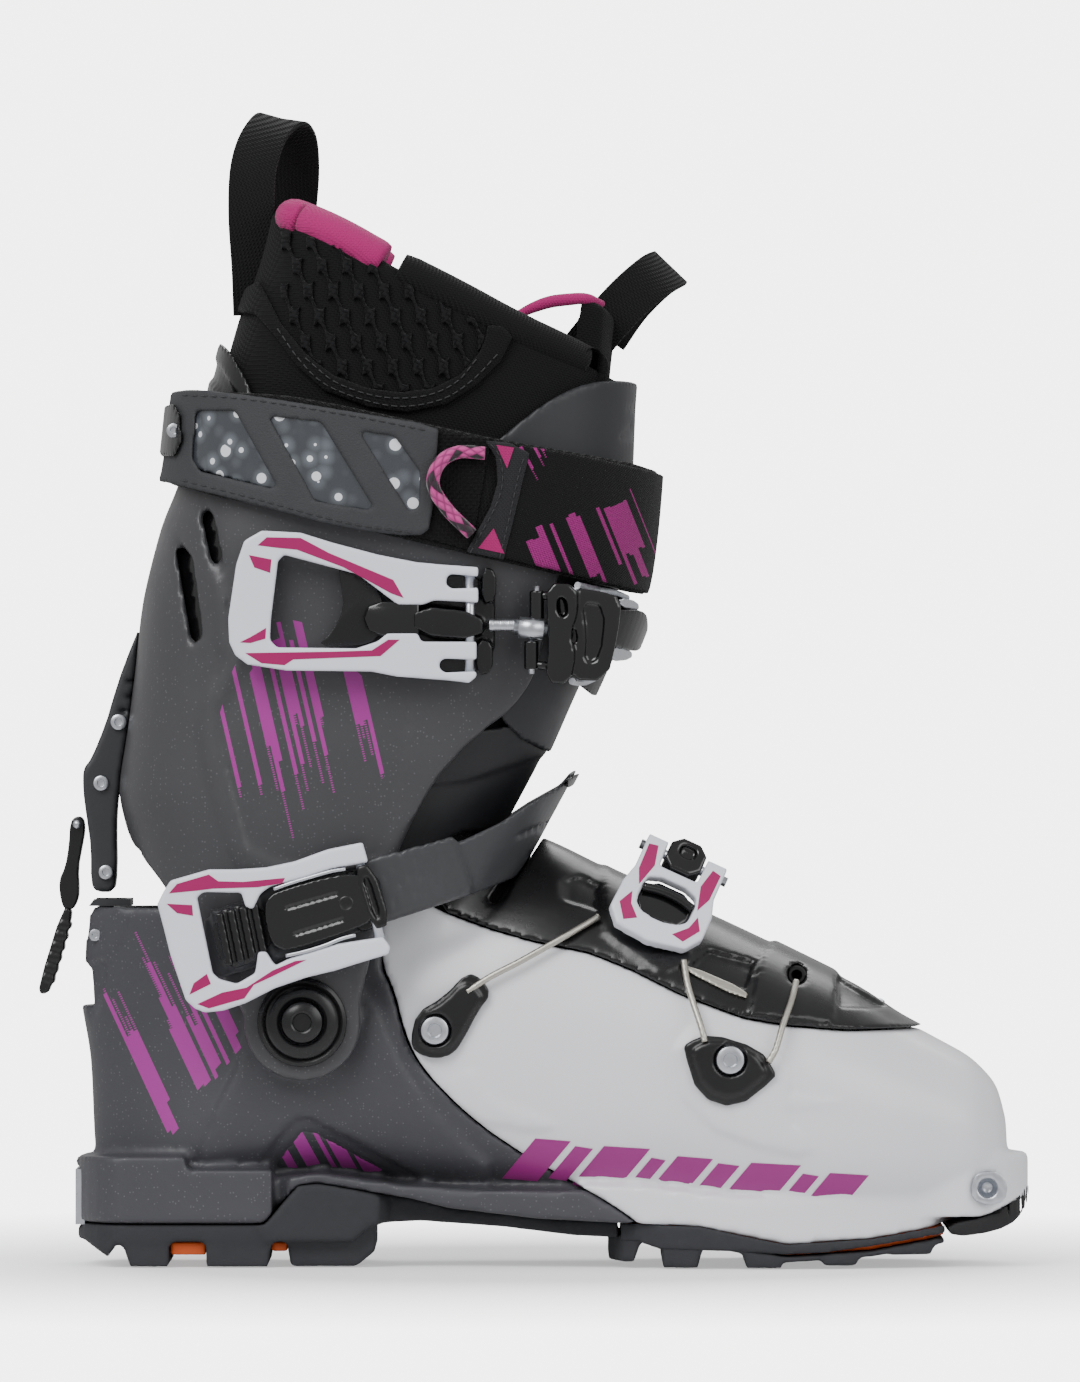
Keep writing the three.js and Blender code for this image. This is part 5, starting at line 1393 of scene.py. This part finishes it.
def bevelled(made, width, segments=2):
    bm = bmesh.new()
    bm.from_mesh(made.data)
    sharp = [edge for edge in bm.edges if edge.calc_face_angle(0) > 0.6]
    bmesh.ops.bevel(bm, geom=sharp, offset=width / 1000, affect="EDGES", segments=segments, profile=0.5,
        material=-1, clamp_overlap=True)
    bm.to_mesh(made.data)
    bm.free()
    return shadeSmooth(made, 35)


def pin(name, start, end, radius, count=20):
    return rod(name, [spot(*start), spot(*end)], radius, count, straight=True)


def screw(name, x, z, face, side, radius, proud=1.2):
    # a low round head with a shallow round dip in its middle
    head = turned(name, spot(x, face, z), (0, side, 0), [
        (0, -1), (radius, -1), (radius, proud * 0.5), (radius * 0.92, proud * 0.85), (radius * 0.7, proud),
        (radius * 0.5, proud), (radius * 0.42, proud * 0.3), (0, proud * 0.2),
    ], 36)
    return head


def stitches(name, points, form, lift, pitch=2.7, length=1.8, width=0.42, side=-1):
    # short threads along a line of the side view
    line = smoothPath([Vector((x, 0, z)) for x, z in points], 8)
    gone, due, parts = 0.0, 0.0, []
    for a, b in zip(line, line[1:]):
        step = (b - a).length
        while step > 0 and due <= gone + step:
            share = (due - gone) / step
            middle, way = a.lerp(b, share), (b - a).normalized()
            ends = []
            for k in (-0.5, 0, 0.5):
                p = middle + way * (length * k)
                bow = 0.12 if k == 0 else -0.15
                ends.append(spot(p.x, side * (sideAt(form, p.x, p.z, lift + bow)), p.z))
            parts.append(rod("thread", ends, width / 2, 6, 2))
            due += pitch
        gone += step
    return welded(name, *parts)


# liner details on the leg: open lattice, stitched band, collar and tongue
latticeEdge = [
    (63, 282.6), (70.3, 273.7), (78.4, 267.2), (88.9, 263.2), (98.7, 262), (108.4, 263.2), (116.5, 267.2),
    (122.2, 273.7), (124.6, 279.8),
]
latticeTop = [(122, 283.4), (108.4, 290.4), (91.4, 299.6), (77.6, 306.8), (62, 312)]
bandEdge = [
    (48, 286.7), (54.9, 285.9), (61.4, 278.6), (67.9, 269.7), (76, 262.4), (88.9, 257.5), (100.3, 255.9),
    (112.4, 258.3),
    (121.3, 264), (128.6, 271.3), (132.3, 278.6),
]


def lens(x, z, half, tall, lean=0.0):
    return [(x + half * math.sin(a) * abs(math.sin(a)) ** 0.4 + lean * math.cos(a),
        z + tall * math.cos(a)) for a in
            (2 * math.pi * k / 14 for k in range(14))]


holes = []
for row in range(7):
    for column in range(10):
        x = 58 + column * 7.6 + (3.8 if row % 2 else 0) + row * 0.4
        z = 262 + row * 7.6
        holes.append(prism(lens(x, z, 2.5, 5.9), -wide, 0))
lattice = carve(
    band(leg, -6.6, -9.2, "linerLattice"),
    ("keep", prism([*latticeEdge, *latticeTop], -wide, wide)),
    ("cut", welded("holes", *holes)),
)
settle(mould(lattice, 0.7, 2), "cuff", "knit", "liner_fabric")
stitchBand = carve(
    band(leg, -6.3, -9, "linerBand"),
    ("keep", prism([*bandEdge, (129, 282), (124.6, 282), *reversed(latticeEdge), (56, 296), (47, 292)])),
)
settle(mould(stitchBand, 0.8, 3), "cuff", "liner", "liner_fabric")
inner = [(x * 0.97 + 92 * 0.03, z * 0.985 + 285 * 0.015 - 2.2) for x, z in latticeEdge[1:-1]]
outer = [(x * 0.97 + 92 * 0.03, z + 1.8) for x, z in bandEdge[2:-1]]
for name, line in (("bandStitchInner", inner), ("bandStitchOuter", outer)):
    settle(stitches(name, line, leg, -6.1), "cuff", "thread", "liner_fabric")

tongueTop = [(126, 262), (131, 283), (136, 286.8), (143.2, 289.3), (152, 290.6), (158, 289.6), (164, 284),
    (171, 262)]
tongueRise = carve(
    body(leg, -13, "linerTongue"), ("cut", body(leg, -19)),
    ("keep", prism(smoothed(tongueTop, 1), -26, 26)),
)
settle(mould(tongueRise, 1.2, 4), "cuff", "liner", "liner_fabric")
piping = []
for x, z in ((133, 285.4), (138, 287.8), (143.2, 289.6), (149, 290.4), (154.5, 290.6), (159, 289)):
    piping.append(spot(x, -min(sideAt(leg, x, z, -15.5), 25), z))
settle(rod("tonguePiping", piping, lambda share: 1.9 * (0.4 + 0.6 * math.sin(math.pi * min(max(share, 0.06),
    0.94)) ** 0.5), 14, 5), "cuff", "collarPink", "liner_fabric")
print("stage: liner details ready")

# upper buckle: its base on the cuff, the bar through the lever, the rod and the catch
upperBase = carve(
    prism(smoothed([(103, 189.6), (123.4, 188), (123.4, 196), (103, 198.2)], 1), -60.9, -51,
        "upperBaseSkin"),
    ("add", prism(smoothed([(100, 178), (127, 178), (127, 208), (100, 208)], 1), -54.2, -50)),
    ("add", prism(smoothed([(123, 199), (127.4, 199.4), (127.4, 209), (123, 209.6)], 1), -58.4, -51)),
    ("add", prism(smoothed([(121.4, 177.4), (126.4, 178), (126.4, 187.6), (121.4, 188)], 1), -58.4, -51)),
    ("cut", body(leg, 0.05)),
)
settle(mould(upperBase, 0.6, 2), "cuff", "black", "black_plastic", "upper_buckle_base")
upperPin = pin("upperPin", (119.5, -58, 178.6), (119.5, -58, 208.4), 1.5)
settle(upperPin, "cuff", "steel", "steel")
bar = bevelled(prism([(93.4, 199.4), (104.4, 198.8), (104.4, 189.4), (93.4, 189.2), (89.4, 190.6),
    (88, 194.3), (89.4, 198)], -60.2, -56.4, "leverBar"), 0.7)
settle(bar, "upper_lever", "gloss", "black_plastic")
plate = bevelled(prism(smoothed([(80, 210.3), (86, 207.7), (92.6, 203), (94, 195), (92, 187.8), (85.6, 186),
    (74, 186), (78, 190), (82, 197), (81, 205)], 1), -56.9, -56.1, "leverFloor"), 0.3)
settle(plate, "upper_lever", "black", "black_plastic")
threads = rod("upperRodSkin", [spot(125.3 + 0.22 * k, -58, 192.4) for k in range(52)],
              lambda share: 1.75 + 0.22 * math.cos(share * 51 * math.pi * 0.9) if 0.1 < share < 0.95 else 1.9, 20, straight=True)
settle(threads, "upper_link", "steel", "steel", "upper_rod")
nut = rod("upperNut", [spot(x, -57.9, z) for x, z in ((132.6, 191.8), (134, 191.7), (134.2, 191.7),
    (141.4, 191.1), (141.6, 191.1), (142.6, 191))],
          lambda share: (2.4, 2.4, 3.3, 3.3, 2.2, 2.0)[round(share * 5)], 12, straight=True)
settle(nut, "upper_link", "steel", "steel")
catchFrame = carve(
    prism(smoothed([(142.3, 204.9), (151.4, 204.6), (151.6, 196), (149.4, 190), (151, 183), (149, 174.6),
        (142, 175.4), (143, 186), (142.6, 194)], 1), -60, -52.6, "catchFrameSkin"),
    ("add", prism(smoothed([(149, 203.6), (158, 202.6), (164.8, 200.6), (163.8, 190), (160.4, 175.6),
        (149, 176), (151.4, 186), (150.6, 195)], 1), -57.6, -51.2)),
    ("cut", prism(smoothed([(145.4, 200.8), (148.4, 200.4), (148.8, 194.6), (145.6, 195)], 1), -62, -55.4)),
    ("cut", prism(smoothed([(152.6, 199.6), (160.2, 198.2), (158.6, 182), (153.4, 180.4), (154, 190)], 1),
        -62, -56.4)),
    ("cut", body(leg, 0.6)),
)
settle(mould(catchFrame, 0.6, 2), "upper_link", "gloss", "black_plastic", "catch_frame")
for word, x, low, high in (("Upper", 139.4, 193.8, 202.6), ("Lower", 137.8, 179.2, 187.6)):
    roller = rod("catchRoller" + word, [spot(x, -57.2, z) for z in (low, low + 0.3, low + 0.6, high - 0.6,
        high - 0.3, high)],
                 lambda share: 2.2 if 0.1 < share < 0.9 else 1.9, 20, straight=True)
    settle(roller, "upper_link", "gloss", "black_plastic")
    settle(pin("catchPin" + word, (x, -57.2, low - 1.4), (x, -57.2, high + 1.4), 0.9), "upper_link",
        "steel", "steel")
    settle(pin("catchArm" + word, (x, -57.2, high - 1.5 if word == "Upper" else low + 1.5),
        (145, -57, high - 1.5 if word == "Upper" else low + 0.6), 1.3), "upper_link", "gloss",
        "black_plastic")
hook = carve(
    body(leg, 8.6, "catchHookSkin"),
    ("cut", body(leg, 1.2)),
    ("keep", prism(smoothed([(161, 197), (170.9, 197.2), (173.2, 194.7), (172.4, 185.2), (167.8, 184.6),
        (160.8, 186.6)], 1), -44, -6)),
    ("add", carve(band(leg, 4.4, 1.2), ("keep", prism([(158.6, 199), (168, 200), (170, 196), (166, 183),
        (158.4, 182)], -48, -2)))),
)
settle(mould(hook, 0.7, 3), "upper_link", "black", "black_plastic", "catch_hook")
bits = [
    carve(band(leg, 7.4, 3.6), ("keep", prism(smoothed([(163.8, 200.9), (169.9, 199.6), (170.3, 196.6),
        (164.4, 197.4)], 1), -46, -8))),
    carve(band(leg, 7.4, 3.6), ("keep", prism(smoothed([(162, 186.4), (168.2, 185), (168.2, 182.2),
        (161.2, 181.4)], 1), -46, -8))),
]
settle(mould(welded("catchBits", *bits), 0.5, 2), "upper_link", "steel", "steel")
catchFoot = carve(band(leg, 3.2, 0.4, "catchFoot"),
    ("keep", prism(smoothed([(149, 206), (166, 203), (168, 196), (166, 172), (158, 170), (150, 176)], 1),
        -56, -20)))
settle(mould(catchFoot, 0.7, 2), "cuff", "black", "black_plastic")
print("stage: upper buckle ready")

# ankle buckle: ratchet cover over its base
cover = carve(
    prism(smoothed([(57.6, 110.9), (66.3, 114.6), (84.6, 119), (88.2, 116.4), (91.2, 105.4), (88, 102.6),
        (68, 95.8), (62.4, 95.4), (59.4, 99.4)], 2), -58.6, -53.5, "ratchetCoverSkin"),
    ("cut", prism([(83.5, 124), (97, 124), (97, 96), (86, 96)], -56.4, -50)),
    *[("cut", prism(groove, -60, -58)) for groove in ([(64, 108.4), (80, 113), (80.5, 111.6), (64.5, 107)],
        [(66.4, 100.6), (82, 105.4), (82.4, 104), (66.8, 99.2)])],
)
settle(mould(cover, 0.55, 3), "ratchet", "gloss", "black_plastic", "ratchet_cover")
mark = turned("coverMark", spot(82.6, -58.5, 109.4), (0, -1, 0),
    [(0, 0), (2.2, 0), (2.2, 0.2), (1.9, 0.32), (1.6, 0.2), (0, 0.2)], 32)
settle(mark, "ratchet", "black", "black_plastic")
ankleBase = carve(
    prism(smoothed([(84.2, 120.2), (90.4, 121.2), (96.2, 103.2), (90.4, 101.2)], 1), -58.8, -52.9,
        "ankleBaseSkin"),
    ("add", prism(smoothed([(80, 118), (91, 121), (96, 103), (84, 100)], 1), -54.3, -50)),
    ("cut", prism(smoothed([(87, 117.4), (89.4, 118), (93.4, 105), (91, 104.2)], 1), -60, -57.4)),
)
settle(mould(ankleBase, 0.6, 2), "shell", "black", "black_plastic", "ankle_buckle_base")
for name, points in (("ratchetSpringUpper", [(61, 113.6), (66, 115.4), (72, 117.2), (78, 118.9),
    (82.4, 119.6)]),
                     ("ratchetSpringLower", [(64.6, 93.8), (70, 95.0), (76, 96.8), (81, 98.8),
                         (85.4, 100)])):
    settle(rod(name, [spot(x, -58.2, z) for x, z in points], 0.6, 12), "ratchet", "steel", "steel")
anklePin = pin("anklePin", (85.6, -55.9, 125.3), (93.9, -55.9, 94.4), 1.5)
settle(anklePin, "shell", "steel", "steel")
tailPlate = carve(
    prism(smoothed([(41.4, 106.4), (57.4, 111), (61.6, 94), (45.6, 88.6)], 1), -56, -52.4, "strapTailSkin"),
    *[("add", prism([(43.6 + 3.5 * k, 106.2 + k), (45.6 + 3.5 * k, 106.8 + k), (48.8 + 3.5 * k, 91 + k),
        (46.8 + 3.5 * k, 90.4 + k)], -57.4, -54)) for k in range(4)],
)
settle(mould(tailPlate, 0.6, 2), "shell", "black", "graphite_plastic")
clips = []
for low, high in ((131.5, 134.6), (137.4, 140.4), (143.2, 146.2)):
    clips.append(carve(band(leg, 7.4, 5.2), ("keep",
        prism([(148.2, low), (153.6, low + 2.4), (153.6, high + 2.4), (148.2, high)], -60, -4))))
settle(mould(welded("strapClips", *clips), 0.6, 2), "shell", "black", "graphite_plastic")
print("stage: ankle buckle ready")

# instep buckle, built flat and then turned onto the instep
instepSeat = Matrix.Translation(spot(183, -25.5, 120)) @ Matrix.Rotation(0.43, 4,
    "Y") @ Matrix.Rotation(-0.5, 4, "X") @ Matrix.Translation(-spot(0, 0, 0))


def seated(made):
    made.data.transform(instepSeat)
    return made


instepOpening = smoothed([(-7.6, -8.4), (7.6, -8.4), (8.8, -15), (7.8, -20.4), (0, -22.6), (-7.8, -20.9),
    (-8.8, -15)], 1)
instepPockets = [
    [(-11.8, 0), (-9, 0.6), (-7.6, -6), (-9.6, -14), (-11.6, -9)],
    [(11.8, 0), (9, 0.6), (7.6, -6), (9.6, -14), (11.6, -9)],
    [(-12.8, -22), (-10.6, -17), (-9.4, -21), (-6, -24.6), (-9.6, -27)],
    [(12.8, -20), (10.6, -16), (9.4, -20.5), (5.6, -24.8), (9.4, -25.6)],
]
instepLever = carve(
    prism([(-12.9, 3.4), (-6.5, 3.4), (-6.2, -5), (6.2, -5), (6.5, 3.4), (12.9, 3.4), (12.9, -8),
        (14.6, -14), (14.6, -22), (11, -27.4),
           (0, -29.9), (-11, -28.9), (-14.9, -24), (-14.4, -14), (-12.9, -8)], -4.6, -0.3,
           "instepLeverSkin"),
    ("cut", prism(instepOpening, -10, 5)),
)
settle(seated(mould(instepLever, 0.55, 3)), "instep_lever", "leverWhite", "white_plastic",
    "instep_buckle_lever")
pieces = [prism(pocket, -4.72, -3.2) for pocket in instepPockets]
settle(seated(shadeSmooth(welded("instepInlays", *pieces), 30)), "instep_lever", "magenta", "white_plastic")
instepBase = carve(
    prism(smoothed([(-5.8, -4.4), (5.8, -4.4), (5.8, 6.6), (-5.8, 6.6)], 1), -5.0, 3, "instepBaseSkin"),
    ("cut", prism(smoothed([(-2.6, 0.6), (2.6, 0.6), (2.6, 4.8), (-2.6, 4.8)], 1), -9, -3.2)),
    ("add", prism(smoothed([(-8.2, -9), (8.2, -9), (8.6, -20), (0, -22), (-8.6, -20)], 1), -1.9, 3)),
)
settle(seated(mould(instepBase, 0.55, 2)), "shell", "gloss", "black_plastic", "instep_buckle_base")
instepPin = seated(pin("instepPin", (-14.2, -2.4, 0), (14.2, -2.4, 0), 1.5))
settle(instepPin, "shell", "steel", "steel")
grip = seated(rod("instepGrip", [spot(x, -3.4, -12.2 - 0.02 * x * x) for x in (-8, -4, 0, 4, 8)], 1.4, 12))
settle(grip, "instep_lever", "black", "black_plastic")
print("stage: instep buckle ready")


# instep cables of twisted strands, with their anchors


def cable(name, points, radius, count=24):
    path = smoothPath(points, 14)
    rings = []
    side = None
    gone = 0.0
    for i, (place, ahead) in enumerate(zip(path, along(path))):
        side = ahead.orthogonal().normalized() if side is None else (side - ahead * side.dot(ahead)).normalized()
        up = ahead.cross(side)
        gone += (place - path[i - 1]).length if i else 0
        ring = []
        for k in range(count):
            a = 2 * math.pi * k / count
            r = radius / 1000 * (0.9 + 0.16 * abs(math.sin(3 * (a + gone * 520))))
            ring.append(place + side * (r * math.cos(a)) + up * (r * math.sin(a)))
        rings.append(ring)
    return shadeSmooth(skinRings(name, rings))


cableLift = 3.35
cablePaths = {
    "rearCableSkin": ("rear_cable", [(118.5, 82.6, 0.6), (125.6, 87.2, 0), (134, 91.5, 0), (143, 96.5, 0),
        (150, 100.4, 0), (158, 105, -0.4)]),
    "frontCableRearSkin": ("front_cable_rear_leg",
        [(189.6, 68, 1.4), (188.5, 72.5, 1), (186, 80, 0), (184.3, 86, 0), (183.4, 92, 0.2)]),
    "frontCableFrontSkin": ("front_cable_front_leg",
        [(208.6, 62, 1.6), (210.8, 66, 1.2), (213, 73, 0.4), (215.6, 80, 0), (217.2, 85.6, -0.6)]),
}
for name, (node, places) in cablePaths.items():
    made = cable(name, [onOuter(foot, x, z, cableLift + more) for x, z, more in places], 0.95)
    settle(made, "shell", "cable", "cable_steel", node)
slider = carve(band(foot, 2.4, -1.5, "cableSlider"),
    ("keep", prism(smoothed([(182.6, 89.4), (184.2, 91), (202.8, 83), (202, 80)], 1), -wide, 0)))
settle(mould(slider, 0.5, 2), "shell", "cable", "cable_steel")

anchorPlans = {
    "rear": ((108.9, 71.1), [(101.5, 68), (103, 64.4), (109, 62.4), (114.6, 64), (117.9, 69), (122, 77),
        (125.9, 82), (123, 86.6), (118.6, 88.6), (111.4, 81), (103.4, 76.4)]),
    "front": ((197.2, 62.6), [(183.2, 65.5), (187.6, 51.6), (199, 47.9), (210.6, 57), (210.6, 59.4),
        (205.9, 66), (191.2, 70.6), (183.8, 67.6)]),
}
for word, (at, outline) in anchorPlans.items():
    reach = sideAt(foot, *at)
    for side, name in ((-1, "outer"), (1, "inner")):
        top = side * (reach + 4.2)
        low, high = sorted((top, side * (reach / 2)))
        clip = prism(smoothed(outline, 1), low, high, word + "Anchor" + name.title())
        middleX = sum(x for x, _ in outline) / len(outline)
        middleZ = sum(z for _, z in outline) / len(outline)
        smaller = [(middleX + (x - middleX) * 0.78, middleZ + (z - middleZ) * 0.78) for x, z in outline]
        low2, high2 = sorted((side * (reach + 3.2), side * (reach + 8)))
        ledge = carve(prism([(-100, -100), (500, -100), (500, 400), (-100, 400)], low2, high2),
            ("cut", prism(smoothed(smaller, 1), -wide, wide)))
        clip = carve(clip, ("cut", ledge), ("cut", body(foot, 0.2)))
        pocketed(clip, at[0], at[1], 5.0, *sorted((side * (reach + 2.4), side * (reach + 20))))
        settle(mould(clip, 0.6, 2), "shell", "black", "white_plastic", word + "_cable_anchor_" + name)
        head = screw(word + "AnchorScrew" + name.title(), at[0], at[1], side * (reach + 2.6), side, 4.4,
            2.2)
        settle(head, "shell", "steel", "steel", word + "_anchor_screw_" + name)
grommetReach = sideAt(foot, 217.5, 87.4)
grommet = turned("grommetSkin", spot(217.5, -grommetReach - 2.4, 87.4), (0, -1, 0),
    [(1.3, -2), (2.8, -2), (2.9, 0.6), (2.4, 1.2), (1.7, 1.2), (1.3, 0.6), (1.3, -2)], 28)
settle(grommet, "shell", "black", "steel", "cable_grommet")
flapStud = turned("flapStud", onOuter(foot, 243, 78.6, 0.6), (0.1, -0.5, 0.9),
    [(0, -1), (1.6, -1), (1.6, 0.4), (1.1, 0.9), (0, 1)], 20)
settle(flapStud, "shell", "steel", "steel")
print("stage: cables ready")

# binding inserts
for side in (-1, 1):
    word = "Outer" if side < 0 else "Inner"
    cup = turned("toeSocket" + word, spot(274.7, side * 31.4, 23.6), (0, side, 0), [
        (0, -3.5), (1.6, -2.6), (2.7, -0.4), (3.1, 1.5), (3.9, 1.9), (4.4, 1.4), (4.5, -3), (0, -4),
    ], 32)
    settle(cup, "shell", "steel", "steel", *(["toe_insert"] if side < 0 else []))
    low, high = sorted((side * 32.0, side * 33.5))
    socketPlate = prism(smoothed([(270, 25.4), (271.6, 28.2), (277.9, 28.6), (280.8, 25), (280, 19.6),
        (274.6, 18.4), (269.8, 20.6)], 1), low, high, "toeSocketPlate" + word)
    pocketed(socketPlate, 274.7, 23.6, 3.3, -60, 60)
    settle(bevelled(socketPlate, 0.25), "shell", "steel", "steel")

# rear lock: bar, lever and pull tab; its plate is the CAD part, given its finish below
lockOutline = [
    (21.0, 196), (14.5, 180), (11.2, 169.7), (9.4, 163.3), (4.8, 151.9), (2.4, 149.4), (2.4, 142.5),
    (3.6, 133.7),
    (4.8, 125.5), (4.8, 114.5), (6.4, 112), (11.8, 112), (12.6, 118), (12.4, 131.9), (12.7, 138.8),
    (13.9, 148.2),
    (16.9, 164.3), (20.6, 191.5), (22.4, 197),
]
lockBar = carve(
    prism(smoothed(lockOutline, 1), -8.3, 8.3, "lockBarSkin"),
    ("cut", body(leg, 0.1)),
    ("cut", block((-20, -5.8, 105), (6.3, 5.8, 136))),
    *[("cut", prism([(16.0 - 1.1 * k, 176.5 - 4.4 * k), (18.6 - 1.1 * k, 176 - 4.4 * k),
        (18.2 - 1.1 * k, 174.4 - 4.4 * k), (15.4 - 1.1 * k, 175 - 4.4 * k)], -wide,
        -6.8)) for k in range(3)],
)
settle(mould(lockBar, 0.7, 2), "cuff", "graphite", "grey_plastic", "lock_bar")
for word, x, z, radius in (("top", 13.2, 163.3, 2.5), ("middle", 7.9, 144.9, 2.4), ("low", 9.4, 118, 2.3)):
    settle(screw("lockScrew" + word.title(), x, z, -8.3, -1, radius, 1.5), "cuff", "steel", "steel",
        "lock_screw_" + word)
walkOutline = [
    (2.4, 134.5), (0.2, 135), (-1.6, 133), (-2, 126), (-3, 119.8), (-5, 115.3), (-4.6, 110.4),
    (-3.5, 106.8), (-1, 106.4),
    (0.6, 109), (1.2, 112), (0.8, 119.2), (2, 125.5), (3, 131),
]
settle(mould(prism(smoothed(walkOutline, 1), -5.1, 5.1, "walkLeverSkin"), 0.5, 2), "walk_lever", "black",
    "black_plastic", "walk_lever")
tab = prism(smoothed([(-3.8, 107.4), (-1.0, 107), (-1.4, 103), (-7.4, 82), (-10.4, 80.8), (-11.2, 83.5)],
    1), -5.8, 5.8, "pullTabSkin")
ribs = [("add", prism([(-4.6 - 1.05 * k, 103 - 3.2 * k), (-1.1 - 1.0 * k, 102.4 - 3.3 * k),
    (-1.4 - 1.0 * k, 101 - 3.3 * k), (-5.1 - 1.05 * k, 101.6 - 3.2 * k)], -6.2, 6.2)) for k in range(6)]
settle(mould(carve(tab, *ribs), 0.5, 1), "walk_lever", "black", "black_plastic", "walk_pull_tab")
hinge = pin("walkPin", (0.6, -6.8, 132.5), (0.6, 6.8, 132.5), 1.3)
settle(hinge, "walk_lever", "steel", "steel")
frameScrew = screw("frameScrew", 6.4, 99.2, -sideAt(foot, 8, 99.2, 0) - 0.2, -1, 1.9, 0.8)
settle(frameScrew, "shell", "steel", "steel")

# power strap trimmings
settle(stitches("shieldStitchTop", [(34, 261.4), (54.2, 259.6), (86, 254.4), (108, 250)], leg, 6.15, 3.0,
    2.0, 0.4), "cuff", "thread", "shield_plastic")
settle(stitches("shieldStitchLow", [(34, 235.6), (54.2, 230.4), (81.8, 223), (104, 219.6)], leg, 6.15, 3.0,
    2.0, 0.4), "cuff", "thread", "shield_plastic")
settle(stitches("patchStitchRear", [(120, 214.6), (127, 227.5), (129.2, 235), (128.4, 242.4),
    (125.6, 246.4)], leg, 5.7, 2.6, 1.7, 0.4), "cuff", "thread", "webbing")
settle(stitches("patchStitchFront", [(128.6, 213.2), (131.6, 226), (134, 237), (136, 243.4)], leg, 5.7, 2.6,
    1.7, 0.4), "cuff", "thread", "webbing")
corners = []
for outline in ([(127.4, 246), (132.7, 245.2), (130.6, 239)],
    [(126.6, 221.2), (129.8, 213.6), (122, 215.3)]):
    corners.append(carve(band(leg, 5.8, 5.2), ("keep", prism(outline, -wide, 0))))
settle(shadeSmooth(welded("patchCorners", *corners), 30), "cuff", "collarPink", "webbing")
rearClip = carve(band(leg, 7.4, 5.6, "strapRearClip"),
    ("keep", prism(smoothed([(24, 258.6), (32.6, 259.2), (33.2, 243), (24, 243.4)], 1))))
settle(mould(rearClip, 0.8, 2), "cuff", "black", "shield_plastic")
settle(screw("strapRivet", 30.6, 250.8, -sideAt(leg, 31.6, 250.8, 7) + 0.4, -1, 2.2, 1.0), "cuff", "steel",
    "steel")
print("stage: lock and trimmings ready")

# the parts listed here, which the skins don't replace, get their finish
carried = {
    "boot_board": "black", "footbed": "liner", "heel_insert": "steel", "rear_lock_plate": "graphite",
    "catch_wire_upper": "steel",
    "catch_wire_lower": "steel",
}
for node, finish in carried.items():
    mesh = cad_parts[node].data
    mesh.materials.clear()
    mesh.materials.append(finishes[finish])

for form in (foot, leg):
    for made in form["made"].values():
        drop(made)

# floor and soft light
bm = bmesh.new()
bmesh.ops.create_grid(bm, x_segments=1, y_segments=1, size=6)
floor = linked("floor", bm)
floor.location = (0, 0, -0.0004)
material, tree, shader, objectSpace = started("paleFloor")
plug(tree, blended(tree, noise(tree, objectSpace, 8, 3), tint(246, 246, 247), tint(250, 250, 251)),
    shader.inputs["Base Color"])
shader.inputs["Roughness"].default_value = 0.65
far = put(tree, "VectorMath", {"operation": "LENGTH"}, Vector=objectSpace).outputs["Value"]
plug(tree, spread(tree, far, 0.12, 0.42, 0.9, 0), shader.inputs["Alpha"])
floor.data.materials.append(material)

world = bpy.data.worlds.new("studio")
bpy.context.scene.world = world
world.use_nodes = True
tree = world.node_tree
background = tree.nodes["Background"]
background.inputs["Color"].default_value = (1, 1, 1, 1)
seen = put(tree, "LightPath").outputs["Is Camera Ray"]
plug(tree, spread(tree, seen, 0, 1, 0.6, 5.0), background.inputs["Strength"])


def softbox(name, place, size, power):
    lamp = bpy.data.lights.new(name, "AREA")
    lamp.shape = "RECTANGLE"
    lamp.size, lamp.size_y = size
    lamp.energy = power
    made = bpy.data.objects.new(name, lamp)
    bpy.context.scene.collection.objects.link(made)
    made.location = place
    made.rotation_euler = (Vector((0, 0, 0.15)) - Vector(place)).to_track_quat("-Z", "Y").to_euler()
    return made


softbox("keyLight", (-0.9, -1.3, 1.5), (1.2, 1.2), 32)
softbox("fillLight", (1.3, -1.2, 0.9), (1.4, 1.0), 12)
softbox("backLight", (0.2, 1.5, 1.6), (1.6, 1.0), 16)

print("stage: done")
